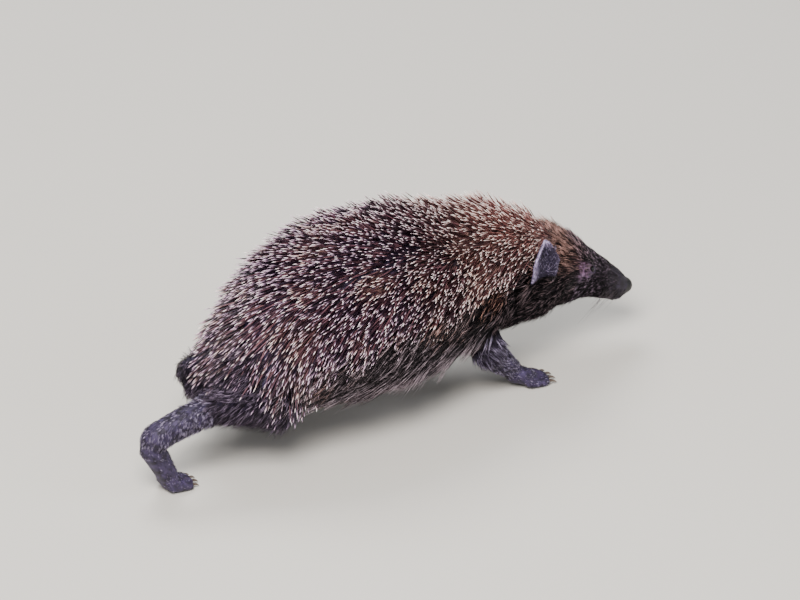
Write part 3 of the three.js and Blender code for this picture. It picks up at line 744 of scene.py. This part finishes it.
# How many spines there are: none under the edge, round the ears and below the rump, and fewer behind.
over_haunch = region("thigh", soften=4) * ramp(z, 0.0460, 0.0495) * (1 - ramp(-x, 0.084, 0.094))
spined = np.where(x > 0.070, ramp(region("back", "crown", soften=14), 0.22, 0.75),
                  ramp(np.maximum(region("back", "crown", soften=4), over_haunch), 0.45, 0.60))
spined = spined * ramp(above_edge, -0.0015, 0.0015) * (1 - ramp(region("ear", soften=26), 0.006, 0.030))
spined = spined * (1 - ramp(-skin_x, 0.074, 0.082) * ramp(up_z, 0.48, 0.64) * (1 - ramp(skin_z, 0.051, 0.057)))
spined = spined * (1 - 0.26 * ramp(-x, 0.050, 0.085)) * (1 - 0.07 * ramp(up_z, 0.55, 0.85))
spined = spined * (1 - 0.12 * (1 - ramp(above_edge, 0.004, 0.016)))
# Spines are shorter towards the head, at the end of the rump and along the edge.
rump_top, rump_end = rump_shares(cover)
by_edge = (1 - ramp(above_edge, 0.002, 0.014)) * (1 - 0.3 * ramp(-x, 0.045, 0.075))
spine_long = SPINE_LENGTH - 0.0035 * ramp(x, 0.045, 0.090) - 0.003 * rump_end - 0.005 * by_edge
spine_long = spine_long - 0.002 * ramp(x, 0.085, 0.105)
tip_height = coat_depth * 1.03 * (0.62 + 0.38 * ramp(above_edge, 0.002, 0.024)) - 0.0055 * rump_top
tip_height = tip_height - 0.0070 * rump_end + 0.0012 * ramp(x, 0.070, 0.084) - 0.0022 * ramp(x, 0.086, 0.100)
spine_lift = np.arcsin(np.clip(tip_height / spine_long, 0.16, 0.8))

# Keratin of the spines: smooth, satin and slightly see-through at the tips, so it takes small
# soft glints; cream, dark brown and cream along each spine.
banded_keratin, tree = new_finish("banded_keratin")
field = {name: add(tree, "ShaderNodeAttribute", attribute_name=name).outputs["Fac"]
         for name in ("along", "tone", "warm", "violet", "nape")}
shift = add(tree, "ShaderNodeMath", {0: field["tone"], 1: 0.045, 2: field["along"]}, operation="MULTIPLY_ADD")
a_quarter = add(tree, "ShaderNodeMapRange", {"Value": field["tone"], "From Min": 0.62, "From Max": 0.86})
DARK_BANDS = ((0.0, "#80605a"), (0.32, "#553b3d"), (0.47, "#29141e"), (0.900, "#200e18"), (0.937, "#f8d6de"),
              (1.0, "#fffafc"))
GREY_BANDS = ((0.0, "#7c5f78"), (0.34, "#58405a"), (0.49, "#241226"), (0.840, "#1e0e22"), (0.905, "#a686a6"),
              (0.950, "#f2ceee"))
PALE_SHAFT = ((0.0, "#96706f"), (0.45, "#825a62"), (0.76, "#65434e"), (0.900, "#331b27"), (0.937, "#f8d6de"),
              (1.0, "#fffafc"))
WARM_BANDS = ((0.0, "#c2a097"), (0.42, "#97706a"), (0.58, "#523032"), (0.830, "#462528"), (0.880, "#facfc4"),
              (1.0, "#fff6f2"))
NAPE_BANDS = ((0.0, "#e0b6ae"), (0.40, "#c28d86"), (0.56, "#824c48"), (0.76, "#6c3c3a"), (0.825, "#ffd2c8"),
              (1.0, "#fff6f0"))
colour = add(tree, "ShaderNodeValToRGB", {"Fac": shift}, stops=DARK_BANDS)
for share, stops in ((field["violet"], GREY_BANDS), (a_quarter, PALE_SHAFT), (field["warm"], WARM_BANDS),
                     (field["nape"], NAPE_BANDS)):
    other = add(tree, "ShaderNodeValToRGB", {"Fac": shift}, stops=stops)
    colour = add(tree, "ShaderNodeMix", {"Factor": share, 6: colour, 7: other}, data_type="RGBA")
shade = add(tree, "ShaderNodeMapRange", {"Value": field["tone"], "To Min": 0.66, "To Max": 1.34})
colour = add(tree, "ShaderNodeVectorMath", {0: colour, "Scale": shade}, operation="SCALE")
where = add(tree, "ShaderNodeTexCoord").outputs["Object"]
flutes = add(tree, "ShaderNodeTexNoise", {"Vector": where, "Scale": 2600.0, "Detail": 2.0})     # about 0.4 mm apart
bump = add(tree, "ShaderNodeBump", {"Height": flutes, "Strength": 0.35, "Distance": 0.00008})
shader = add(tree, "ShaderNodeBsdfPrincipled", {"Base Color": colour, "Roughness": 0.38, "IOR": 1.55,
                                                "Specular IOR Level": 0.45, "Normal": bump})
add(tree, "ShaderNodeOutputMaterial", {"Surface": shader})

right_side, left_side = ramp(-skin_y, -0.0008, 0.0008), ramp(skin_y, -0.0008, 0.0008)
front = ramp(x, 0.0488, 0.0512)
for piece, where, seed in (("spines_right", spined * right_side * (1 - front), 1),
                           ("spines_left", spined * left_side * (1 - front), 2), ("spines_crown", spined * front, 3)):
    spines = [lock(f"{piece}_spine_{k}", strands=1, length=SPINE_LENGTH, thick=SPINE_THICK - 0.00006 * k, spread=0,
                   bend=0.03 + 0.03 * k, profile=SPINE_PROFILE, seed=40 + k, sides=4, uneven=0.0) for k in range(3)]
    grow_coat(piece, spines, banded_keratin, "spines", where, spine_long / SPINE_LENGTH, spine_lift, spine_lie,
              wide=0.85 + 0.15 * ramp(spine_long, 0.014, 0.021), Root_spacing=0.00104,
              Roots_per_square_metre=780000.0, Root_depth=0.0006, Length_scatter=0.20, Direction_scatter=0.19,
              Parting_strength=0.34, Parting_size=0.011, Seed=seed)


# ---- Fur of the face ---------------------------------------------------------------------------
# Short coarse hair, black-brown with pale tips here and there, lying back from the nose. It is
# shortest on the snout and round the eyes, and longer over the forehead and cheeks.
def fur_finish(name, root, middle, tip, dull_tip, roughness=0.52, shine=0.32, patches=0.3):
    """Hair: a dark root, a middle, and a tip that is pale on the share of hairs that the skin calls for."""
    material, tree = new_finish(name)
    field = {label: add(tree, "ShaderNodeAttribute", attribute_name=label).outputs["Fac"]
             for label in ("along", "strand", "tone", "bright", "warm")}
    pale = add(tree, "ShaderNodeMix", {"Factor": field["warm"], 6: linear(tip), 7: linear("#b88b7d")}, data_type="RGBA")
    is_pale = add(tree, "ShaderNodeMath", {0: field["strand"], 1: field["bright"]}, operation="LESS_THAN")
    tips = add(tree, "ShaderNodeMix", {"Factor": is_pale, 6: linear(dull_tip), 7: pale}, data_type="RGBA")
    lower = add(tree, "ShaderNodeMapRange", {"Value": field["along"], "From Min": 0.0, "From Max": 0.45})
    upper = add(tree, "ShaderNodeMapRange", {"Value": field["along"], "From Min": 0.32, "From Max": 0.70})
    colour = add(tree, "ShaderNodeMix", {"Factor": lower, 6: linear(root), 7: linear(middle)}, data_type="RGBA")
    colour = add(tree, "ShaderNodeMix", {"Factor": upper, 6: colour, 7: tips}, data_type="RGBA")
    # Each lock has its own depth of shade, and darker and paler patches of locks lie side by side, about 3 mm across.
    shade = add(tree, "ShaderNodeMapRange", {"Value": field["tone"], "To Min": 0.65, "To Max": 1.35})
    where = add(tree, "ShaderNodeTexCoord").outputs["Object"]
    blotches = add(tree, "ShaderNodeTexNoise", {"Vector": where, "Scale": 330.0, "Detail": 2.0})
    mottled = add(tree, "ShaderNodeMapRange", {"Value": blotches, "From Min": 0.38, "From Max": 0.62,
                                               "To Min": 1 - patches, "To Max": 1 + 1.2 * patches})
    shade = add(tree, "ShaderNodeMath", {0: shade, 1: mottled}, operation="MULTIPLY")
    colour = add(tree, "ShaderNodeVectorMath", {0: colour, "Scale": shade}, operation="SCALE")
    shader = add(tree, "ShaderNodeBsdfPrincipled", {"Base Color": colour, "Roughness": roughness, "IOR": 1.55,
                                                    "Specular IOR Level": shine})
    add(tree, "ShaderNodeOutputMaterial", {"Surface": shader})
    return material


SHORT_HAIR = [(0, 0.8), (0.5, 1.0), (1.0, 0)]
LONG_HAIR = [(0, 0.75), (0.35, 1.0), (0.7, 0.75), (1.0, 0)]


def grow_fur(name, finish, where, strands, length, thick, spread, bend, profile=SHORT_HAIR, long=None, lift=None,
             lie=None, **sizes):
    """Sets one piece of fur, in three kinds of lock. Its length, lift and lie are those of the fur of the
    whole body, unless its own are given."""
    locks = [lock(f"{name}_lock_{k}", strands, length, thick, spread * (1 + 0.2 * k), bend * (0.7 + 0.3 * k), profile,
                  seed=60 + k, gather=0.5 + 0.15 * k) for k in range(3)]
    grow_coat(name, locks, finish, "fur", where, fur_long / length if long is None else long / length,
              fur_lift if lift is None else lift, fur_lie if lie is None else lie, **sizes)


# The way the fur runs: back from the nose over the head, back and down over the neck and trunk,
# and along each leg to its toes.
run = backward + down * (0.06 + 0.24 * (1 - np.abs(up_z)) + 3.2 * ramp(-skin_x, 0.080, 0.098))[:, None]
on_head, on_neck = np.isin(kind, ["head", "nose"]), kind == "neck"
run = np.where(on_head[:, None], -head_axis + 0.10 * down * ramp(from_nose, 0.02, 0.05)[:, None], run)
run = np.where(on_neck[:, None], -0.5 * head_axis + 0.5 * backward + 0.35 * down * (1 - np.abs(up_z))[:, None], run)
for leg, parts in LEGS.items():
    middles = [middle_of(f"{leg}_{part}") for part in parts]
    middles.append(np.mean([middle_of(f"{leg}_claw_{k}") for k in range(1, 6)], axis=0))
    for k, part in enumerate(parts):
        hang = np.array([-0.2, 0, -0.9]) if part == "thigh" else 0
        run[leg_of == f"{leg}_{part}"] = unit(unit(middles[k + 1] - middles[k]) + hang)
run[kind == "tail"] = unit(np.array([-0.022, 0.002, -0.012]))
fur_lie = lying(unit(run), soften=14)
FUR_LENGTH = {"back": 0.026, "crown": 0.009, "belly": 0.021, "neck": 0.0135, "head": 0.0075, "nose": 0.002,
              "tail": 0.0036, "upper_arm": 0.0095, "forearm": 0.0036, "thigh": 0.013, "shank": 0.0040,
              "foot": 0.0024, "ear": 0.0022}
fur_long = np.array([FUR_LENGTH[part] for part in kind])
fur_long = np.where(on_head, 0.0018 + 0.0066 * ramp(from_nose, 0.003, 0.044) + 0.0060 * brow, fur_long)
fur_long = np.maximum(blur(fur_long, ends, 18), 0.010 * region("thigh", "upper_arm", soften=70))
fur_long = fur_long + 0.005 * hump(before_ear, 0.008)
fur_high = coat_depth * 1.05 + 0.0028 * brow * ramp(up_z, 0.3, 0.8) * ramp(from_nose, 0.032, 0.052)
fur_lift = np.arcsin(np.clip(fur_high / fur_long, 0.12, 0.62)) + 0.12 * hump(before_ear, 0.007)
# Hair round the eye is short, most of all in front of it, where it lies towards the eye.
eye_gap = near_any([middle + 0.0016 * head_axis for middle in eye_middle.values()])
fur_long = fur_long * (0.26 + 0.74 * ramp(eye_gap, 0.0036, 0.0080))

face = region("head", "nose", soften=3) * (1 - ramp(from_nose, 0.0375, 0.0385)) * ramp(from_nose, 0.0035, 0.0065)
face = face * (wet < 0.3) * ramp(eye_gap, 0.0036, 0.0042)
face = face * (1 - 0.12 * bare) * (0.60 + 0.40 * ramp(from_nose, 0.010, 0.026))
# Black hair, dull and flecked with pale tips, so the face reads dark but never flat.
face_hair = fur_finish("black_brindled_hair", root="#040304", middle="#080609", tip="#938092", dull_tip="#0f0b10",
                       shine=0.17, patches=0.55)
grow_fur("fur_face", face_hair, face, strands=5, length=0.0070, thick=0.00021, spread=0.0007, bend=0.16,
         wide=0.60 + 0.40 * ramp(fur_long, 0.002, 0.006), Root_spacing=0.00045, Roots_per_square_metre=2500000.0,
         Root_depth=0.0002, Length_scatter=0.35, Direction_scatter=0.16, Parting_strength=0.9, Parting_size=0.006,
         Seed=11)


# ---- Fur of the cheeks, throat and neck ---------------------------------------------------------
# Longer, rougher hair behind the eyes and under the ears, running back and down to the shoulder
# under the first spines. It is dark and dull with pale ends, so the locks stand apart.
cheek = np.maximum(region("head", soften=3) * ramp(from_nose, 0.0365, 0.0385), region("neck", soften=3))
cheek = np.maximum(cheek, region("crown", soften=3)) * (1 - spined) * (1 - region("ear", soften=2))
neck_hair = fur_finish("rough_dark_hair", root="#030203", middle="#070507", tip="#806d73", dull_tip="#0d090c",
                       shine=0.15, patches=0.40)
grow_fur("fur_neck", neck_hair, cheek, strands=5, length=0.0120, thick=0.00025, spread=0.0011, bend=0.16,
         wide=0.65 + 0.25 * ramp(fur_long, 0.006, 0.012), Root_spacing=0.00078, Roots_per_square_metre=800000.0,
         Root_depth=0.0004, Length_scatter=0.40, Direction_scatter=0.18, Parting_strength=1.0, Parting_size=0.010,
         Seed=12)


# ---- Long hair of the flanks --------------------------------------------------------------------
# A fringe of long coarse hair that comes out under the last spines, and hangs back and down over
# the sides of the belly. Its pale ends over dark stems give a grizzled grey-brown.
rear = ramp(-x, 0.082, 0.092)
flank = region("belly", soften=3) * ramp(np.abs(y), 0.014, 0.026) * ramp(z, 0.020, 0.032)
flank = np.maximum(flank, region("back", soften=3) * (1 - ramp(above_edge, 0.0, 0.003))) * (1 - rear)
flank_hair = fur_finish("long_grizzled_hair", root="#070506", middle="#141013", tip="#ab9aa3", dull_tip="#1f191c",
                        shine=0.22)
for piece, side, seed in (("fur_flank_right", right_side, 13), ("fur_flank_left", left_side, 14)):
    grow_fur(piece, flank_hair, flank * side, strands=5, length=0.0220, thick=0.00027, spread=0.0017, bend=0.20,
             profile=LONG_HAIR, Root_spacing=0.00080, Roots_per_square_metre=830000.0, Root_depth=0.0006,
             Length_scatter=0.45, Direction_scatter=0.14, Parting_strength=0.8, Parting_size=0.016, Seed=seed)


# ---- Fur of the belly ---------------------------------------------------------------------------
# Coarse hair, thinner than on the flanks, lying back between the legs. It is the palest of the
# coat, brown-grey to its roots.
belly = region("belly", soften=3) * (1 - ramp(flank, 0.3, 0.7)) * (1 - rear)
belly_hair = fur_finish("coarse_belly_hair", root="#2c2422", middle="#5c4e46", tip="#a5978a", dull_tip="#786a60")
grow_fur("fur_belly", belly_hair, belly, strands=5, length=0.0160, thick=0.00034, spread=0.0016, bend=0.18,
         long=fur_long * 0.8, Root_spacing=0.0012, Roots_per_square_metre=330000.0, Root_depth=0.0005,
         Length_scatter=0.45, Direction_scatter=0.20, Parting_strength=1.0, Parting_size=0.014, Seed=15)


# ---- Fur of the haunches ------------------------------------------------------------------------
# Soft hair over the thighs, and over the rump below the spines, where it is shorter. It is
# violet-grey, with ends that catch the light in patches.
haunch = ramp(region("thigh", soften=40), 0.10, 0.40) * region("thigh", "shank", soften=4)
haunch = np.maximum(haunch, region("back", "belly", soften=3) * (1 - spined) * rear)
haunch_long = fur_long * (1 - 0.45 * rear * ramp(skin_z, 0.028, 0.038) * ramp(skin_y, -0.012, 0.0))
haunch_hair = fur_finish("soft_grey_hair", root="#0e0911", middle="#1d1522", tip="#93829a", dull_tip="#2a2131",
                         shine=0.24, patches=0.40)
grow_fur("fur_haunches", haunch_hair, haunch, strands=5, length=0.0130, thick=0.00024, spread=0.0012, bend=0.16,
         long=haunch_long, Root_spacing=0.00080, Roots_per_square_metre=780000.0, Root_depth=0.0004,
         Length_scatter=0.40, Direction_scatter=0.16, Parting_strength=0.65, Parting_size=0.010, Seed=16)


# ---- Short hair of the legs, feet and tail -------------------------------------------------------
# Fine short hair that lies flat along each leg; thinner still on the toes, and none on the soles.
# It is smoother than the rest, so it has a faint sheen. Its violet tint is a painted cast of cool
# sky light, and its many pale violet tips are partly real pale ends and partly a painted highlight.
short = region("upper_arm", "forearm", "shank", "foot", "tail", soften=4)
on_foot = region("foot", soften=2)
short = short * (1 - on_foot * ramp(-up_z, 0.1, 0.5)) * (1 - 0.35 * on_foot)
leg_hair = fur_finish("fine_hair_painted_violet_sheen", root="#0f0b14", middle="#1f1729", tip="#c3b6d8", dull_tip="#2b2138",
                      roughness=0.46, shine=0.30, patches=0.25)
grow_fur("fur_legs", leg_hair, short, strands=4, length=0.0042, thick=0.00020, spread=0.0006, bend=0.12,
         wide=0.8 + 0.5 * ramp(fur_long, 0.004, 0.009), Root_spacing=0.00068, Roots_per_square_metre=1100000.0,
         Root_depth=0.0002, Length_scatter=0.35, Direction_scatter=0.14, Parting_strength=0.7, Parting_size=0.006,
         Seed=17)


# ---- Fine hair of the ears -----------------------------------------------------------------------
# Sparse short hair from the root of each ear to its rim, longest inside. It is paler than the skin
# and fans out, so it softens the edge of the ear.
EAR_HAIR, EAR_LIFT = 0.0022, 0.22
on_ear = region("ear", soften=2) * (1 - 0.5 * rim)
ear_run = np.zeros((len(co), 3))
for middle, tall, wide_way, _ in ear_frame.values():
    this, away = far(co, middle) < 0.022, (co - middle) @ wide_way
    ear_run = np.where(this[:, None], tall + 35.0 * away[:, None] * wide_way, ear_run)
ear_hair = fur_finish("thin_ear_hair", root="#1b1523", middle="#31273f", tip="#bbadd2", dull_tip="#3a2f4a",
                      roughness=0.5)
grow_fur("fur_ears", ear_hair, on_ear, strands=3, length=EAR_HAIR, thick=0.00013, spread=0.0004, bend=0.12,
         long=EAR_HAIR * (0.7 + 1.1 * hollow), lift=EAR_LIFT + 0 * hollow, lie=lying(unit(ear_run), soften=2),
         Root_spacing=0.00048, Roots_per_square_metre=2200000.0, Root_depth=0.0001, Length_scatter=0.40,
         Direction_scatter=0.25, Parting_strength=0.8, Parting_size=0.005, Seed=18)


# ---- Eyes ----------------------------------------------------------------------------------------
# Small dark beads behind the lids: a clear cornea over a near-black iris. Each is one closed ball,
# which bulges a little at its front.
def plain_mesh(name, verts, faces, finish):
    """A smooth object of one finish, with its faces outwards."""
    mesh = bpy.data.meshes.new(name)
    mesh.from_pydata([tuple(v) for v in verts], [], faces)
    shell = bmesh.new()
    shell.from_mesh(mesh)
    bmesh.ops.recalc_face_normals(shell, faces=shell.faces)
    shell.to_mesh(mesh)
    shell.free()
    make_smooth(mesh)
    mesh.materials.append(finish)
    return loose(name, mesh)


# Wet eye: dark brown under a clear film, so it reads black with one sharp light in it.
wet_dark_eye, tree = new_finish("wet_dark_eye")
from_pole = add(tree, "ShaderNodeAttribute", attribute_name="from_pole").outputs["Fac"]
iris = add(tree, "ShaderNodeValToRGB", {"Fac": from_pole},
           stops=((0.30, "#030202"), (0.38, "#140b08"), (0.62, "#0a0606")))
shader = add(tree, "ShaderNodeBsdfPrincipled", {
    "Base Color": iris, "Roughness": 0.22, "IOR": 1.36, "Specular IOR Level": 0.20, "Coat Weight": 0.28,
    "Coat Roughness": 0.04})
add(tree, "ShaderNodeOutputMaterial", {"Surface": shader})
ROWS, COLUMNS = 20, 32
# The bead's play inside the lids, how far its front bulges, and the angle that the bulge takes up.
EYE_PLAY, CORNEA_RISE, CORNEA_WIDE = 0.00008, 0.00018, 0.55
for side, d in eye_out.items():
    u = unit(np.cross(d, np.array([0, 0, 1.0])))
    v = np.cross(d, u)
    verts, faces, share = [], [], []
    for r in range(ROWS + 1):
        tilt = math.pi * r / ROWS
        bulge = EYE_BALL - EYE_PLAY + CORNEA_RISE * math.exp(-(tilt / CORNEA_WIDE) ** 2)
        for c in range(1 if r in (0, ROWS) else COLUMNS):
            spin = 2 * math.pi * c / COLUMNS
            way = math.cos(tilt) * d + math.sin(tilt) * (math.cos(spin) * u + math.sin(spin) * v)
            verts.append(eye_place[side] + bulge * way)
            share.append(tilt / math.pi * 2)
    last = 1 + (ROWS - 2) * COLUMNS
    for c in range(COLUMNS):
        after = (c + 1) % COLUMNS
        faces.append((0, 1 + after, 1 + c))
        for a in range(1, last, COLUMNS):
            faces.append((a + c, a + after, a + COLUMNS + after, a + COLUMNS + c))
        faces.append((last + c, last + after, len(verts) - 1))
    eye = plain_mesh("eye_bead_" + side, verts, faces, wet_dark_eye)
    keep_value(eye.data, "from_pole", np.array(share))
    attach(eye, "root")
    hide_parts("eye_" + side)


# ---- Claws ---------------------------------------------------------------------------------------
# Blunt curved claws of dark horn, one grown out of the end of each toe, five to a foot. They are
# oval in section, taller than wide, and taper to the point.
def add_spike(verts, faces, along, rings, sides, place, point):
    """Adds a closed spike to these lists: rings of corners at place(share, spin), then its point."""
    first, last = len(verts), rings - 1
    for r in range(rings):
        for c in range(sides):
            verts.append(place(r / rings, 2 * math.pi * c / sides))
            along.append(r / rings)
    verts.append(point)
    along.append(1.0)
    faces.append(tuple(first + c for c in range(sides)))
    for r in range(rings):
        for c in range(sides):
            a, b = first + r * sides + c, first + r * sides + (c + 1) % sides
            faces.append((a, b, b + sides, a + sides) if r < last else (a, b, len(verts) - 1))


# Horn: brown at the root, paler at the point, with fine lines and a dull polish.
brown_horn, tree = new_finish("brown_horn")
along_claw = add(tree, "ShaderNodeAttribute", attribute_name="along").outputs["Fac"]
horn = add(tree, "ShaderNodeValToRGB", {"Fac": along_claw}, stops=((0, "#261c1b"), (1, "#7d6e62")))
where = add(tree, "ShaderNodeTexCoord").outputs["Object"]
lines = add(tree, "ShaderNodeTexNoise", {"Vector": where, "Scale": 3000.0, "Detail": 2.0})      # about 0.3 mm apart
colour = add(tree, "ShaderNodeMix", {"Factor": lines, 6: horn, 7: linear("#4a382d")}, data_type="RGBA")
bump = add(tree, "ShaderNodeBump", {"Height": lines, "Strength": 0.4, "Distance": 0.00006})
shader = add(tree, "ShaderNodeBsdfPrincipled", {"Base Color": colour, "Roughness": 0.38, "IOR": 1.54,
                                                "Coat Weight": 0.2, "Coat Roughness": 0.25, "Normal": bump})
add(tree, "ShaderNodeOutputMaterial", {"Surface": shader})
# How deep a claw starts in its toe, how high it arches, and how thick it lies over its solid.
CLAW_ROOT, CLAW_ARCH, CLAW_WALL = 0.0012, 0.0007, 0.00035
CLAW_HIGH, CLAW_WIDE = 1.15, 0.8            # shares of its thickness
CLAW_RINGS, CLAW_SIDES = 9, 10
for leg in LEGS:
    verts, faces, along = [], [], []
    claws = [f"{leg}_claw_{k}" for k in range(1, 6)]
    for claw in claws:
        p = np.array([tuple(v.co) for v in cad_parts[claw].data.vertices])
        middle, way = p.mean(axis=0), unit(main_axes(p)[2])
        way = way if way @ (middle - middle_of(f"{leg}_foot")) > 0 else -way
        t = (p - middle) @ way
        start, point = middle + way * (t.min() - CLAW_ROOT), middle + way * t.max()
        thick = 0.5 * np.percentile(far(p - middle, t[:, None] * way), 90) + CLAW_WALL
        side_way = unit(np.cross(way, np.array([0, 0, 1.0])))
        top_way = np.cross(side_way, way)
        long = np.linalg.norm(point - start)

        def claw_corner(share, spin):
            width = thick * (1 - share ** 1.8) ** 0.7
            rise = CLAW_ARCH * math.sin(math.pi * share) + CLAW_HIGH * width * math.sin(spin)
            return start + way * long * share + top_way * rise + side_way * CLAW_WIDE * width * math.cos(spin)

        add_spike(verts, faces, along, CLAW_RINGS, CLAW_SIDES, claw_corner, point)
    piece = plain_mesh("claws_" + leg, verts, faces, brown_horn)
    keep_value(piece.data, "along", np.array(along))
    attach(piece, "root")
    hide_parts(*claws)


# ---- Whiskers -------------------------------------------------------------------------------------
# Stiff bristles rooted in rows on each side of the muzzle, and three over each eye, curving back.
# They are smooth and black, and grow thinner and paler towards the end.
black_bristle, tree = new_finish("black_bristle")
along_whisker = add(tree, "ShaderNodeAttribute", attribute_name="along").outputs["Fac"]
bristle = add(tree, "ShaderNodeValToRGB", {"Fac": along_whisker}, stops=((0, "#0c090b"), (1, "#5b4d52")))
shader = add(tree, "ShaderNodeBsdfPrincipled", {"Base Color": bristle, "Roughness": 0.35, "IOR": 1.55})
add(tree, "ShaderNodeOutputMaterial", {"Surface": shader})
# Half a whisker's thickness at its root, how far it sags for its length, and how deep it starts.
WHISKER_HALF, WHISKER_SAG, WHISKER_ROOT = 0.00011, 0.30, 0.0004
WHISKER_RINGS, WHISKER_SIDES = 8, 5
skin_surface = BVHTree.FromPolygons(co.tolist(), [tuple(p.vertices) for p in hide.polygons])
rng = np.random.default_rng(21)
verts, faces, along = [], [], []
for s in (-1, 1):
    # Each root by how far it is behind the nose and above its middle, with the whisker's length.
    roots = [(0.0075 + 0.0034 * c + 0.0008 * r, -0.0020 + 0.0017 * r, 0.015 + 0.0030 * c)
             for r in range(3) for c in range(4)]
    roots += [(0.031 + 0.002 * c, 0.0125, 0.012) for c in range(3)]
    for behind, rise, long in roots:
        guess = nose_tip - head_axis * behind + side_axis * s * 0.012 + rise_axis * rise
        spot, out = (np.array(v) for v in skin_surface.find_nearest(Vector(guess))[:2])
        way = unit(0.75 * out - 0.75 * head_axis + 0.10 * rng.normal(0, 1, 3))
        sag = unit(-head_axis * 0.6 - np.array([0, 0, 0.5]))
        spot = spot - out * WHISKER_ROOT
        long = long * rng.uniform(0.8, 1.15)
        across = unit(np.cross(way, sag))
        above = np.cross(across, way)

        def whisker_corner(share, spin):
            width = WHISKER_HALF * (1 - 0.8 * share)
            middle = spot + way * long * share + sag * WHISKER_SAG * long * share ** 2
            return middle + width * (math.cos(spin) * across + math.sin(spin) * above)

        point = spot + way * long + sag * WHISKER_SAG * long
        add_spike(verts, faces, along, WHISKER_RINGS, WHISKER_SIDES, whisker_corner, point)
whiskers = plain_mesh("whiskers", verts, faces, black_bristle)
keep_value(whiskers.data, "along", np.array(along))
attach(whiskers, "root")
